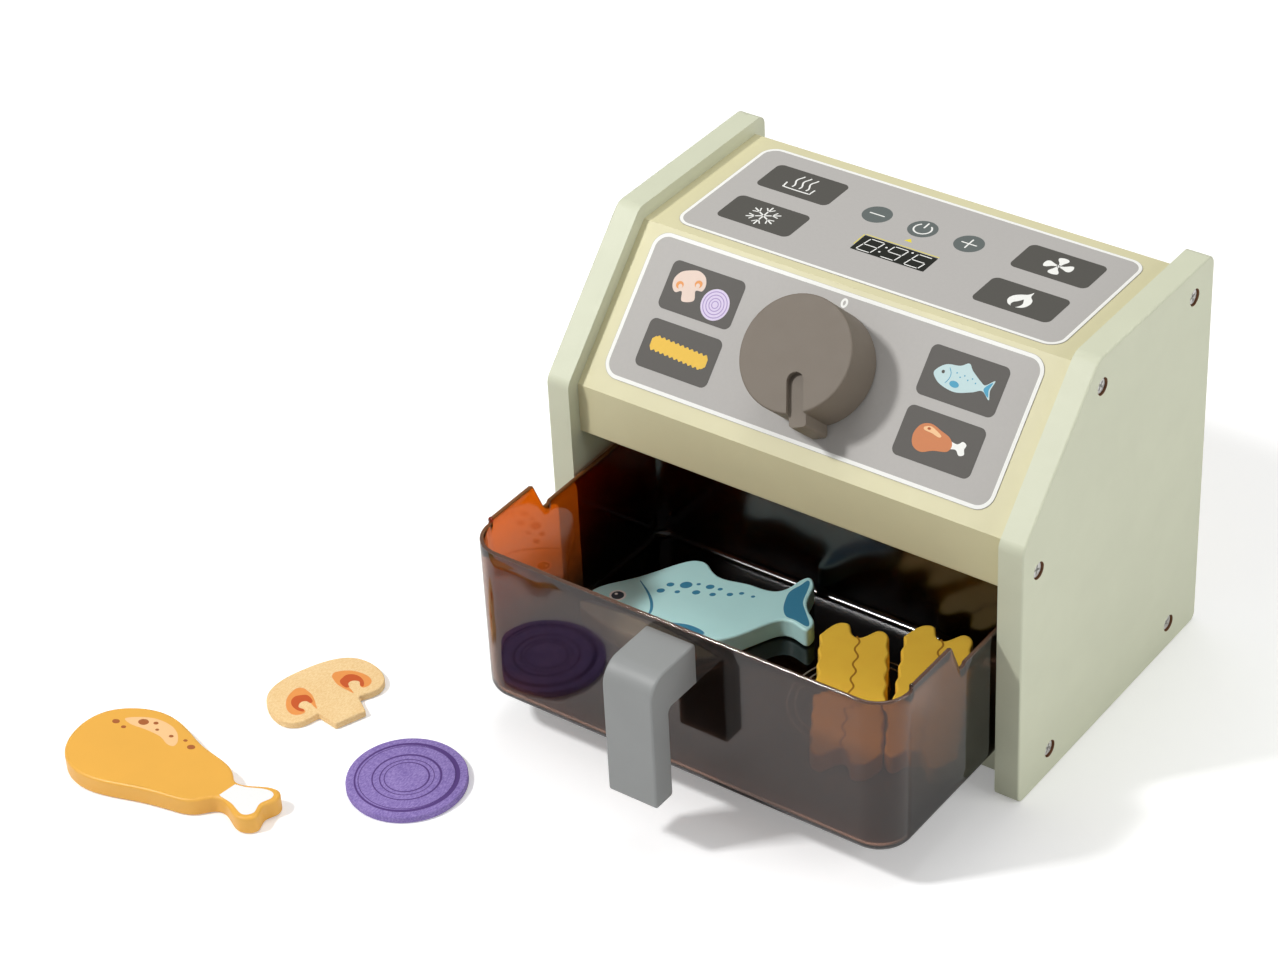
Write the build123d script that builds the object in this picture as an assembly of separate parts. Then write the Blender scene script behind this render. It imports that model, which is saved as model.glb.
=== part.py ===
from build123d import *
import math
import os

"""Toy air fryer: board housing, sliding drawer, turning knob and loose play food.

Lengths are in mm. The housing's mid-plane is x = 0, the side panels' front edges are y = 0
and the table is z = 0. The whole set is moved at the end by SET_SHIFT.
"""

# Whole set
SET_SHIFT = (64.99, 27.309, 0.0)

# Housing
BOARD = 12.0
PANEL_DEPTH = 157.0
PANEL_HEIGHT = 195.8
SLOPE_FOOT_Z = 134.5
SLOPE_TOP_Y = 58.8
INSET = 7.0
LIP_BOTTOM_Z = 106.5
SLOPE_RUN_Y = 54.7
FOOT_RADIUS = 4.0
BEND_RADIUS = 7.0
TOP_RADIUS = 5.0
PANEL_ROUND = 1.0
BACK_THICKNESS = 6.0
GROOVE_DEPTH = 3.0

# Housing screws, each (y, z) from the corner of the board that it enters
TOP_REAR_SCREW = (-9.9, -6.5)
TOP_FRONT_SCREW = (0.0, -7.5)
LIP_SCREW = (5.7, 11.3)
BASE_REAR_SCREW = (-18.8, 6.4)
BASE_FRONT_SCREW = (19.0, 6.5)
COUNTERBORE_RADIUS = 4.0
COUNTERBORE_DEPTH = 1.0
SCREW_HEAD_RADIUS = 3.7
SCREW_HEAD_HEIGHT = 2.2
SCREW_CONE = 1.6
SCREW_RADIUS = 1.75
SCREW_LENGTH = 30.0
PILOT_GAP = 0.05
SCREW_TURNS = [12.0, 48.0, 77.0, 31.0, 63.0]

# Printed overlays
FILM = 0.3
TOP_LABEL_SIDE = 12.0
TOP_LABEL_FRONT = 4.8
TOP_LABEL_REAR = 6.5
CONTROL_LABEL_SIDE = 10.5
CONTROL_LABEL_OFFSET = -1.5
CONTROL_LABEL_FOOT = 7.6
CONTROL_LABEL_HEAD = 2.2
LABEL_CORNER = 8.0

# Knob, measured from the control board's surface
KNOB_BELOW_MIDDLE = 0.2
KNOB_RADIUS = 26.25
KNOB_BOTTOM = 0.9
KNOB_TOP = 26.6
KNOB_TURN = 23.3
SLOT_WIDTH = 7.8
SLOT_START = 8.0
POINTER_TOP = 23.6
POINTER_REACH = 31.4
POINTER_BOTTOM = 1.5
PAD_RADIUS = 20.0
PAD_HOLE = 8.0
PAD_THICKNESS = 0.6
SHAFT_RADIUS = 2.5
RUNNING_GAP = 0.08
BUSHING_RADIUS = 5.0
FLANGE_RADIUS = 8.0
FLANGE_HEIGHT = 1.5
WASHER_HEIGHT = 1.2
KNOB_PLAY = 0.3
INSERT_RADIUS = 4.0
INSERT_TOP = 13.0

# Drawer, level and pulled out as far as in the photo
DRAWER_WIDTH = 217.0
DRAWER_SIDE_GAP = 1.5
DRAWER_FLOOR_GAP = 0.4
DRAWER_LENGTH = 139.0
DRAWER_FRONT_Y = -80.0
DRAWER_WALL = 2.4
WING_LIP_GAP = 4.2
FRONT_RIM_DROP = 2.3
BIN_RIM_DROP = 14.5
FRONT_CORNER = 16.0
REAR_CORNER = 10.0
FLOOR_EDGE = 5.0
FLOOR_INSIDE_EDGE = 4.0
WING_START = 16.5
WING_END = 47.0
WING_EASE = (1.5, 0.8)
WING_STEP = 1.0
BIN_RIM_STEPS = [(6.2, -0.6), (7.5, -1.3), (10.0, -1.3), (11.0, 0.0)]
RIM_ROOM = 20.0
NUB_RADIUS = 1.15
NUB_DEPTH = 8.0
NUB_RISE = 0.3
RING_PLACES = [(-54.0, 80.0), (41.0, 80.0)]
RING_RADII = [31.0, 27.5]
RING_WIDTH = 0.8
RING_DEPTH = 0.4

# Handle
HANDLE_WIDTH = 25.0
HANDLE_BELOW_RIM = 5.7
HANDLE_ARM = 20.7
HANDLE_REACH = 32.0
GRIP_THICKNESS = 12.2
GRIP_ABOVE_BOTTOM = 7.9
HANDLE_OUTER_BEND = 11.0
HANDLE_INNER_BEND = 2.5
HANDLE_ROUND = 1.1
HANDLE_SCREW_X = 6.5
HANDLE_SCREW_LENGTH = 20.0
HANDLE_WASHER_RADIUS = 4.6
HANDLE_WASHER_HEIGHT = 0.8
PAN_HEAD_RADIUS = 3.6
PAN_HEAD_HEIGHT = 2.4

# Play food
FOOD_GAP = 0.3
FOOD_ROUND = 1.2
FISH_THICKNESS = 10.0
FRY_THICKNESS = 10.0
DRUMSTICK_THICKNESS = 9.0
SLICE_THICKNESS = 3.5
SLICE_ROUND = 0.6
SLICE_CORNER = 1.2
ONION_RADIUS = 27.0
FISH_PLACE = (61.5, 48.5, 28.0)
FRONT_FRIES_PLACE = (67.9, 64.8, 30.3)
BACK_FRIES_PLACE = (37.8, 48.2, 26.0)
DRUMSTICK_PLACE = (-198.0, -186.0, 0.0)
MUSHROOM_PLACE = (-178.0, -104.0, 68.5)
TABLE_ONION_PLACE = (-109.6, -131.0, 0.0)

# Fish, nose at the left and back upwards
FISH_OUTLINE = [
    (-57.0, 0.5), (-51.9, 9.9), (-36.7, 18.3), (-20.9, 28.4), (-14.5, 32.3), (-9.0, 34.0),
    (-4.2, 32.4), (-1.3, 27.8), (3.0, 22.4), (16.9, 17.9), (31.1, 13.9), (36.2, 17.6),
    (40.5, 23.1), (44.0, 24.9), (46.3, 21.4), (46.0, 13.8), (44.9, 5.8), (47.1, -2.3),
    (49.2, -9.3), (46.7, -14.1), (41.0, -10.0), (35.0, -7.7), (28.5, -11.0), (13.8, -21.6),
    (-3.0, -26.6), (-22.0, -26.0), (-40.0, -18.5), (-52.0, -8.5)]

# Drumstick, bone at the right
DRUMSTICK_OUTLINE = [
    (-46.6, -18.5), (-53.6, -4.0), (-51.2, 12.3), (-40.6, 22.2), (-27.3, 26.3), (-12.9, 24.1),
    (2.7, 18.3), (17.1, 15.4), (26.4, 11.2), (31.0, 7.6), (38.5, 9.0), (46.6, 12.8),
    (52.4, 12.6), (54.7, 7.8), (52.6, 1.4), (54.4, -5.6), (48.6, -10.2), (39.6, -7.0),
    (31.5, -5.4), (25.0, -11.6), (12.3, -16.2), (-3.2, -19.6), (-18.4, -24.2), (-33.6, -25.2)]

# Mushroom cap, from one side of the stalk round to the other, cap upwards
MUSHROOM_CAP = [(10.2, -11.5), (14.6, -12.0), (20.0, -12.0), (25.0, -8.8), (27.6, -1.5), (26.8, 6.5),
                (22.5, 14.6), (13.5, 19.6), (0.0, 21.0)]
MUSHROOM_STALK = (7.8, -22.5)

# Pair of fries, upper end of the outline with its notch in the middle
FRY_END_OUTLINE = [(-15.4, 40.0), (-11.8, 44.8), (-6.4, 48.6), (-3.2, 47.9), (-1.9, 44.4), (-0.9, 40.2),
                   (1.4, 37.9), (4.2, 38.8), (7.7, 41.6), (10.9, 43.3), (13.8, 41.6), (15.2, 38.0)]
FRY_WAVES = 7
FRY_WAVE_DEPTH = 1.0


def inset_profile():
    """Return the boards' outer corners and inner mitre corners in the y-z plane."""
    slope = math.atan2(PANEL_HEIGHT - SLOPE_FOOT_Z, SLOPE_TOP_Y)
    front = INSET
    top = PANEL_HEIGHT - INSET
    upper_y = front + SLOPE_RUN_Y
    foot = (front, top - SLOPE_RUN_Y * math.tan(slope))
    head = (upper_y, top)
    run, rise = math.cos(slope), math.sin(slope)
    inner_y = foot[0] + BOARD * rise
    inner_z = foot[1] - BOARD * run
    lower_step = (front + BOARD - inner_y) / run
    upper_step = (top - BOARD - inner_z) / rise
    inner_foot = (front + BOARD, inner_z + lower_step * rise)
    inner_head = (inner_y + upper_step * run, top - BOARD)
    return slope, foot, head, inner_foot, inner_head


SLOPE, FOOT, HEAD, INNER_FOOT, INNER_HEAD = inset_profile()
PANEL_INNER_X = DRAWER_WIDTH / 2 + DRAWER_SIDE_GAP
PANEL_OUTER_X = PANEL_INNER_X + BOARD
BOARD_REAR_Y = PANEL_DEPTH - INSET
BASE_TOP_Z = INSET + BOARD
BACK_FRONT_Y = BOARD_REAR_Y - BACK_THICKNESS
SCREW_CORNERS = [
    ((BOARD_REAR_Y, HEAD[1]), TOP_REAR_SCREW),
    (HEAD, TOP_FRONT_SCREW),
    ((INSET, LIP_BOTTOM_Z), LIP_SCREW),
    ((BOARD_REAR_Y, INSET), BASE_REAR_SCREW),
    ((INSET, INSET), BASE_FRONT_SCREW)]
PANEL_SCREWS = [(corner[0] + offset[0], corner[1] + offset[1]) for corner, offset in SCREW_CORNERS]
SLOPE_LENGTH = math.dist(FOOT, HEAD)
TOP_LABEL_Y = (HEAD[0] + TOP_LABEL_FRONT, BOARD_REAR_Y - TOP_LABEL_REAR)
CONTROL_LABEL_S = (CONTROL_LABEL_FOOT, SLOPE_LENGTH - CONTROL_LABEL_HEAD)
KNOB_S = sum(CONTROL_LABEL_S) / 2 - KNOB_BELOW_MIDDLE
CONTROL_PLANE = Plane(
    origin=(0, FOOT[0], FOOT[1]),
    x_dir=(1, 0, 0),
    z_dir=(0, -math.sin(SLOPE), math.cos(SLOPE)))
KNOB_PLANE = Plane(
    origin=CONTROL_PLANE.from_local_coords((0, KNOB_S, 0)),
    x_dir=CONTROL_PLANE.x_dir,
    z_dir=CONTROL_PLANE.z_dir)
DRAWER_BOTTOM_Z = BASE_TOP_Z + DRAWER_FLOOR_GAP
DRAWER_REAR_Y = DRAWER_FRONT_Y + DRAWER_LENGTH
WING_RIM_Z = LIP_BOTTOM_Z - WING_LIP_GAP
FRONT_RIM_Z = WING_RIM_Z - FRONT_RIM_DROP
BIN_RIM_Z = WING_RIM_Z - BIN_RIM_DROP
HANDLE_TOP_Z = FRONT_RIM_Z - HANDLE_BELOW_RIM
HANDLE_SCREW_Z = HANDLE_TOP_Z - HANDLE_ARM / 2
GRIP_BOTTOM_Z = DRAWER_BOTTOM_Z + GRIP_ABOVE_BOTTOM
FOOD_FLOOR_Z = DRAWER_BOTTOM_Z + DRAWER_WALL + FOOD_GAP


def save(name, shape):
    """Move a piece to its place in the set and write it as its own node."""
    placed = Location(SET_SHIFT) * shape
    placed.label = name
    export_step(placed, os.path.join("parts", name + ".step"))


def polygon_prism(points, start_x, end_x):
    """Return a prism across the housing with the given y-z outline."""
    outline = make_face(Plane.YZ * Polyline(*points, close=True))
    return Pos(start_x, 0, 0) * extrude(outline, amount=end_x - start_x, dir=(1, 0, 0))


def edge_near(shape, y, z):
    """Return the edge along x that lies nearest to a point of the y-z plane."""
    edges = shape.edges().filter_by(Axis.X)
    return min(edges, key=lambda edge: math.hypot(edge.center().Y - y, edge.center().Z - z))


def upright_cylinder(radius, bottom, top):
    """Return a cylinder about the z axis between two heights."""
    return Pos(0, 0, bottom) * Cylinder(
        radius, top - bottom, align=(Align.CENTER, Align.CENTER, Align.MIN))


def phillips_recess(size, depth):
    """Return the cross-shaped recess of a screw head, cut down from z = 0."""
    arm = Box(size, size * 0.24, depth, align=(Align.CENTER, Align.CENTER, Align.MAX))
    return arm + Rot(0, 0, 90) * arm


def wood_screw(length, radius, head_radius, head_height, cone):
    """Return a screw along z, with its head's top at z = 0 and its point below."""
    head = upright_cylinder(head_radius, -head_height, 0)
    head = fillet(head.faces().sort_by(Axis.Z)[-1].edges(), 0.5)
    neck_top = -head_height
    tip = length * 0.12
    shank = upright_cylinder(radius, tip - length, neck_top - cone)
    point = Pos(0, 0, tip / 2 - length) * Rot(180, 0, 0) * Cone(radius, radius * 0.2, tip)
    screw = head + shank + point
    if cone > 0:
        screw += Pos(0, 0, neck_top - cone / 2) * Cone(radius, head_radius * 0.95, cone)
    return screw - phillips_recess(head_radius * 1.25, head_height * 0.6)


def facing_outwards(side):
    """Return the turn that points an upright piece out of one side of the housing."""
    return Rot(0, 0, 180 if side > 0 else 0) * Rot(0, -90, 0)


def panel_screws(side):
    """Return the screws of one side panel as separate solids; side is 1 or -1."""
    screw = wood_screw(SCREW_LENGTH, SCREW_RADIUS, SCREW_HEAD_RADIUS, SCREW_HEAD_HEIGHT, SCREW_CONE)
    head_x = side * (PANEL_OUTER_X - COUNTERBORE_DEPTH)
    outwards = facing_outwards(side)
    return [Pos(head_x, y, z) * outwards * Rot(0, 0, turn) * screw
            for (y, z), turn in zip(PANEL_SCREWS, SCREW_TURNS)]


def panel_bores(side):
    """Return the bores that one side panel's screws need in the boards."""
    head_x = side * (PANEL_OUTER_X - COUNTERBORE_DEPTH)
    bore = facing_outwards(side) * upright_cylinder(SCREW_RADIUS + PILOT_GAP, -SCREW_LENGTH - 0.5, 0)
    return [Pos(head_x, y, z) * bore for y, z in PANEL_SCREWS]


def side_panel(side, back_board, screws):
    """Return one side panel, bored for its screws and grooved for the back board."""
    profile = [(0, 0), (0, SLOPE_FOOT_Z), (SLOPE_TOP_Y, PANEL_HEIGHT),
               (PANEL_DEPTH, PANEL_HEIGHT), (PANEL_DEPTH, 0)]
    radii = [FOOT_RADIUS, BEND_RADIUS, BEND_RADIUS, TOP_RADIUS, FOOT_RADIUS]
    start = PANEL_INNER_X if side > 0 else -PANEL_OUTER_X
    panel = polygon_prism(profile, start, start + BOARD)
    for (y, z), radius in zip(profile, radii):
        panel = fillet(edge_near(panel, y, z), radius)
    outer = panel.faces().sort_by(Axis.X)[-1 if side > 0 else 0]
    panel = fillet(outer.edges(), PANEL_ROUND)
    panel -= back_board
    well_depth = COUNTERBORE_DEPTH + SCREW_HEAD_HEIGHT
    well = facing_outwards(side) * upright_cylinder(COUNTERBORE_RADIUS, -well_depth, 1)
    for (y, z), screw in zip(PANEL_SCREWS, screws):
        panel -= Pos(side * PANEL_OUTER_X, y, z) * well
        panel -= screw
    return panel


def cross_board(points, bores, round_points=()):
    """Return a board between the panels with bores for the screws that enter it."""
    board = polygon_prism(points, -PANEL_INNER_X, PANEL_INNER_X)
    for y, z in round_points:
        board = fillet(edge_near(board, y, z), PANEL_ROUND)
    for bore in bores:
        board -= bore
    return board


def back_board_panel():
    """Return the back board, whose ends sit in the side panels' grooves."""
    half = PANEL_INNER_X + GROOVE_DEPTH
    points = [(BACK_FRONT_Y, BASE_TOP_Z), (BOARD_REAR_Y, BASE_TOP_Z),
              (BOARD_REAR_Y, HEAD[1] - BOARD), (BACK_FRONT_Y, HEAD[1] - BOARD)]
    return polygon_prism(points, -half, half)


def housing_boards():
    """Return the four boards between the panels by name."""
    bores = panel_bores(-1) + panel_bores(1)
    top_points = [HEAD, (BOARD_REAR_Y, HEAD[1]), (BOARD_REAR_Y, HEAD[1] - BOARD), INNER_HEAD]
    control_points = [FOOT, HEAD, INNER_HEAD, INNER_FOOT]
    lip_points = [(INSET, LIP_BOTTOM_Z), FOOT, INNER_FOOT, (INSET + BOARD, LIP_BOTTOM_Z)]
    base_points = [(INSET, INSET), (INSET, BASE_TOP_Z), (BOARD_REAR_Y, BASE_TOP_Z), (BOARD_REAR_Y, INSET)]
    control = cross_board(control_points, bores)
    control -= KNOB_PLANE * upright_cylinder(BUSHING_RADIUS, -BOARD - 1, 1)
    return {
        "top_board": cross_board(top_points, bores, [(BOARD_REAR_Y, HEAD[1])]),
        "control_board": control,
        "front_lip": cross_board(lip_points, bores, [lip_points[0], lip_points[3]]),
        "base_board": cross_board(base_points, bores, base_points[:2])}


def top_label():
    """Return the printed film on the top board."""
    length = TOP_LABEL_Y[1] - TOP_LABEL_Y[0]
    width = 2 * (PANEL_INNER_X - TOP_LABEL_SIDE)
    film = extrude(RectangleRounded(width, length, LABEL_CORNER), amount=FILM)
    return Pos(0, sum(TOP_LABEL_Y) / 2, HEAD[1]) * film


def control_label():
    """Return the printed film on the control board, open under the knob."""
    length = CONTROL_LABEL_S[1] - CONTROL_LABEL_S[0]
    width = 2 * (PANEL_INNER_X - CONTROL_LABEL_SIDE)
    film = extrude(RectangleRounded(width, length, LABEL_CORNER), amount=FILM)
    film = Pos(CONTROL_LABEL_OFFSET, sum(CONTROL_LABEL_S) / 2, 0) * film
    film -= Pos(0, KNOB_S, 0) * upright_cylinder(PAD_RADIUS, -1, 1)
    return CONTROL_PLANE * film


def knob_pad():
    """Return the felt ring between the knob and the control board."""
    pad = upright_cylinder(PAD_RADIUS, 0, PAD_THICKNESS)
    return KNOB_PLANE * (pad - upright_cylinder(PAD_HOLE, -1, PAD_THICKNESS + 1))


def knob_bushing():
    """Return the flanged sleeve that the knob's screw turns in."""
    sleeve = upright_cylinder(BUSHING_RADIUS, -BOARD, 0)
    sleeve += upright_cylinder(FLANGE_RADIUS, -BOARD - FLANGE_HEIGHT, -BOARD)
    sleeve -= upright_cylinder(SHAFT_RADIUS + RUNNING_GAP, -BOARD - FLANGE_HEIGHT - 1, 1)
    return KNOB_PLANE * sleeve


def pointer_slot(reach):
    """Return the round-ended slot outline, from near the knob's centre outwards."""
    end = SLOT_START + SLOT_WIDTH / 2
    straight = Pos(0, -(end + reach) / 2) * Rectangle(SLOT_WIDTH, reach - end)
    return straight + Pos(0, -end) * Circle(SLOT_WIDTH / 2)


def knob_pieces():
    """Return the pieces that turn with the knob by name."""
    washer_top = -BOARD - FLANGE_HEIGHT - KNOB_PLAY
    washer_bottom = washer_top - WASHER_HEIGHT
    drum = upright_cylinder(KNOB_RADIUS, KNOB_BOTTOM, KNOB_TOP)
    drum = fillet(drum.edges(), 0.8)
    slot = Pos(0, 0, POINTER_BOTTOM) * extrude(pointer_slot(KNOB_RADIUS + 5), amount=KNOB_TOP)
    bore = upright_cylinder(INSERT_RADIUS, 0, INSERT_TOP)
    drum = drum - slot - bore
    pointer = extrude(pointer_slot(POINTER_REACH), amount=POINTER_TOP - POINTER_BOTTOM)
    pointer = fillet(pointer.edges().filter_by(Axis.Z).sort_by(Axis.Y)[:2], 1.5)
    pointer = Pos(0, 0, POINTER_BOTTOM) * pointer
    insert = upright_cylinder(INSERT_RADIUS, KNOB_BOTTOM, INSERT_TOP)
    insert -= upright_cylinder(SHAFT_RADIUS, 0, INSERT_TOP - 1)
    washer = upright_cylinder(FLANGE_RADIUS, washer_bottom, washer_top)
    washer -= upright_cylinder(SHAFT_RADIUS, washer_bottom - 1, washer_top + 1)
    screw = upright_cylinder(SHAFT_RADIUS, washer_bottom - 1, INSERT_TOP - 1)
    head = upright_cylinder(SHAFT_RADIUS * 1.9, washer_bottom - 2.6, washer_bottom)
    head -= Pos(0, 0, washer_bottom - 2.6) * Rot(180, 0, 0) * phillips_recess(5.4, 1.6)
    turned = Rot(0, 0, KNOB_TURN)
    pieces = {"knob": drum, "knob_pointer": pointer, "knob_insert": insert,
              "knob_washer": washer, "knob_screw": screw + head}
    return {name: KNOB_PLANE * turned * piece for name, piece in pieces.items()}


def drawer_outline(margin):
    """Return the drawer's plan outline, brought inwards by a margin."""
    half = DRAWER_WIDTH / 2 - margin
    front = DRAWER_FRONT_Y + margin
    rear = DRAWER_REAR_Y - margin
    points = [(-half, front), (half, front), (half, rear), (-half, rear)]
    plan = make_face(Polyline(*points, close=True))
    corners = plan.vertices().sort_by(Axis.Y)
    plan = fillet(corners[:2], FRONT_CORNER - margin)
    return fillet(plan.vertices().sort_by(Axis.Y)[-2:], REAR_CORNER - margin)


def rim_cutter():
    """Return the solid above the drawer's stepped rim."""
    ease, drop = WING_EASE
    steps = [(-RIM_ROOM, FRONT_RIM_Z), (WING_START, FRONT_RIM_Z), (WING_START + WING_STEP, WING_RIM_Z),
             (WING_END - ease, WING_RIM_Z), (WING_END, WING_RIM_Z - drop)]
    steps += [(WING_END + back, BIN_RIM_Z + rise) for back, rise in BIN_RIM_STEPS]
    steps.append((DRAWER_LENGTH + RIM_ROOM, BIN_RIM_Z))
    points = [(DRAWER_FRONT_Y + back, z) for back, z in steps]
    points += [(points[-1][0], WING_RIM_Z + RIM_ROOM), (points[0][0], WING_RIM_Z + RIM_ROOM)]
    return polygon_prism(points, -DRAWER_WIDTH, DRAWER_WIDTH)


def floor_rings():
    """Return the ring grooves moulded in the drawer's floor."""
    floor = DRAWER_BOTTOM_Z + DRAWER_WALL
    rings = []
    for x, back in RING_PLACES:
        for radius in RING_RADII:
            ring = upright_cylinder(radius, floor - RING_DEPTH, floor + 1)
            ring -= upright_cylinder(radius - RING_WIDTH, floor - RING_DEPTH - 1, floor + 2)
            rings.append(Pos(x, DRAWER_FRONT_Y + back, 0) * ring)
    return rings


def drawer_tray(fixings):
    """Return the one-piece moulded drawer."""
    height = WING_RIM_Z + 5 - DRAWER_BOTTOM_Z
    tray = Pos(0, 0, DRAWER_BOTTOM_Z) * extrude(drawer_outline(0), amount=height)
    tray = fillet(tray.faces().sort_by(Axis.Z)[0].edges(), FLOOR_EDGE)
    inside = Pos(0, 0, DRAWER_BOTTOM_Z + DRAWER_WALL) * extrude(drawer_outline(DRAWER_WALL), amount=height)
    inside = fillet(inside.faces().sort_by(Axis.Z)[0].edges(), FLOOR_INSIDE_EDGE)
    tray = tray - inside - rim_cutter()
    for side in (-1, 1):
        nub_x = side * (DRAWER_WIDTH / 2 - DRAWER_WALL / 2)
        nub = upright_cylinder(NUB_RADIUS, WING_RIM_Z - NUB_DEPTH, WING_RIM_Z + NUB_RISE)
        tray += Pos(nub_x, DRAWER_FRONT_Y + WING_START + WING_STEP, 0) * nub
    for ring in floor_rings():
        tray -= ring
    for fixing in fixings:
        tray -= fixing
    return tray


def handle_fixings():
    """Return the handle's screws and washers as two lists of solids."""
    inside_y = DRAWER_FRONT_Y + DRAWER_WALL
    screw = wood_screw(HANDLE_SCREW_LENGTH, SCREW_RADIUS, PAN_HEAD_RADIUS, PAN_HEAD_HEIGHT, 0)
    washer = upright_cylinder(HANDLE_WASHER_RADIUS, 0, HANDLE_WASHER_HEIGHT)
    washer -= upright_cylinder(SCREW_RADIUS, -1, HANDLE_WASHER_HEIGHT + 1)
    facing_in = Rot(-90, 0, 0)
    head_y = inside_y + HANDLE_WASHER_HEIGHT + PAN_HEAD_HEIGHT
    screws, washers = [], []
    for x in (-HANDLE_SCREW_X, HANDLE_SCREW_X):
        screws.append(Pos(x, head_y, HANDLE_SCREW_Z) * facing_in * screw)
        washers.append(Pos(x, inside_y, HANDLE_SCREW_Z) * facing_in * washer)
    return screws, washers


def handle(screws):
    """Return the hooked wooden handle with its pilot holes."""
    wall_y = DRAWER_FRONT_Y
    front_y = wall_y - HANDLE_REACH
    under_z = HANDLE_TOP_Z - HANDLE_ARM
    grip_y = front_y + GRIP_THICKNESS
    points = [(wall_y, HANDLE_TOP_Z), (wall_y, under_z), (grip_y, under_z),
              (grip_y, GRIP_BOTTOM_Z), (front_y, GRIP_BOTTOM_Z), (front_y, HANDLE_TOP_Z)]
    hook = polygon_prism(points, -HANDLE_WIDTH / 2, HANDLE_WIDTH / 2)
    hook = fillet(edge_near(hook, front_y, HANDLE_TOP_Z), HANDLE_OUTER_BEND)
    hook = fillet(edge_near(hook, grip_y, under_z), HANDLE_INNER_BEND)
    for y in (front_y, grip_y):
        hook = fillet(edge_near(hook, y, GRIP_BOTTOM_Z), HANDLE_ROUND * 1.6)
    for x in (-HANDLE_WIDTH / 2, HANDLE_WIDTH / 2):
        face = hook.faces().filter_by(Axis.X).sort_by(Axis.X)[-1 if x > 0 else 0]
        rims = [edge for edge in face.edges() if edge.center().Y < wall_y - 0.01]
        hook = fillet(rims, HANDLE_ROUND)
    for screw in screws:
        hook -= screw
    return hook


def smooth_slab(points, thickness, rounding):
    """Return a flat piece of food with a smooth closed outline and eased edges."""
    slab = extrude(make_face(Spline(*points, periodic=True)), amount=thickness)
    rims = slab.faces().sort_by(Axis.Z)[0].edges() + slab.faces().sort_by(Axis.Z)[-1].edges()
    return fillet(rims, rounding)


def fries_outline():
    """Return the outline of a pair of fries with crinkled sides, alike at both ends."""
    start, end = FRY_END_OUTLINE[-1], (-FRY_END_OUTLINE[0][0], -FRY_END_OUTLINE[0][1])
    side = []
    for step in range(1, 2 * FRY_WAVES):
        share = step / (2 * FRY_WAVES)
        bump = FRY_WAVE_DEPTH * (0.5 if step % 2 == 0 else -0.5)
        side.append((start[0] + (end[0] - start[0]) * share + bump, start[1] + (end[1] - start[1]) * share))
    half = FRY_END_OUTLINE + side
    return half + [(-x, -y) for x, y in half]


def mushroom_slice():
    """Return the mushroom slice: a rounded cap with a short straight stalk."""
    cap = MUSHROOM_CAP + [(-x, y) for x, y in reversed(MUSHROOM_CAP[:-1])]
    stalk_x, stalk_y = MUSHROOM_STALK
    rim = Spline(*cap)
    base = Polyline(cap[-1], (-stalk_x, stalk_y), (stalk_x, stalk_y), cap[0])
    slab = extrude(make_face(rim + base), amount=SLICE_THICKNESS)
    corners = slab.edges().filter_by(Axis.Z)
    slab = fillet(corners, SLICE_CORNER)
    rims = slab.faces().sort_by(Axis.Z)[0].edges() + slab.faces().sort_by(Axis.Z)[-1].edges()
    return fillet(rims, SLICE_ROUND)


def onion_slice():
    """Return a round onion slice lying at z = 0."""
    disc = upright_cylinder(ONION_RADIUS, 0, SLICE_THICKNESS)
    return fillet(disc.edges().filter_by(GeomType.CIRCLE), SLICE_ROUND)


def at(place, height, piece):
    """Put a flat piece at (x, y, turn) and a height."""
    x, y, turn = place
    return Pos(x, y, height) * Rot(0, 0, turn) * piece


def in_drawer(side, place):
    """Return the position of a place given from the drawer's side wall and rear wall."""
    from_side, from_rear, turn = place
    return (side * (DRAWER_WIDTH / 2 - from_side), DRAWER_REAR_Y - from_rear, turn)


def drawer_food():
    """Return the food in the drawer by name."""
    fries = smooth_slab(fries_outline(), FRY_THICKNESS, FOOD_ROUND)
    fish = smooth_slab(FISH_OUTLINE, FISH_THICKNESS, FOOD_ROUND)
    return {
        "fish": at(in_drawer(-1, FISH_PLACE), FOOD_FLOOR_Z, fish),
        "front_fries": at(in_drawer(1, FRONT_FRIES_PLACE), FOOD_FLOOR_Z, fries),
        "back_fries": at(in_drawer(1, BACK_FRIES_PLACE), FOOD_FLOOR_Z, fries)}


def table_food():
    """Return the food on the table by name."""
    drumstick = smooth_slab(DRUMSTICK_OUTLINE, DRUMSTICK_THICKNESS, FOOD_ROUND)
    return {
        "drumstick": at(DRUMSTICK_PLACE, 0, drumstick),
        "mushroom": at(MUSHROOM_PLACE, 0, mushroom_slice()),
        "table_onion": at(TABLE_ONION_PLACE, 0, onion_slice())}


def main():
    """Build every piece and write the parts."""
    os.makedirs("parts", exist_ok=True)
    back = back_board_panel()
    left_screws, right_screws = panel_screws(-1), panel_screws(1)
    save("back_board", back)
    save("left_side_panel", side_panel(-1, back, left_screws))
    save("right_side_panel", side_panel(1, back, right_screws))
    save("left_panel_screws", Compound(left_screws))
    save("right_panel_screws", Compound(right_screws))
    for name, board in housing_boards().items():
        save(name, board)
    save("top_label", top_label())
    save("control_label", control_label())
    save("knob_bushing", knob_bushing())
    save("knob_felt_pad", knob_pad())
    for name, piece in knob_pieces().items():
        save(name, piece)
    screws, washers = handle_fixings()
    save("drawer", drawer_tray(screws))
    save("handle", handle(screws))
    save("handle_screws", Compound(screws))
    save("handle_washers", Compound(washers))
    for name, piece in {**drawer_food(), **table_food()}.items():
        save(name, piece)


main()
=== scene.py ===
"""Looks of the toy air fryer: painted boards, printed labels, smoked drawer, knob and play food."""

import logging
import math
from dataclasses import dataclass, field
from enum import Enum
from typing import Sequence, Union

import bpy
import numpy as np
from mathutils import Matrix

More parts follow.
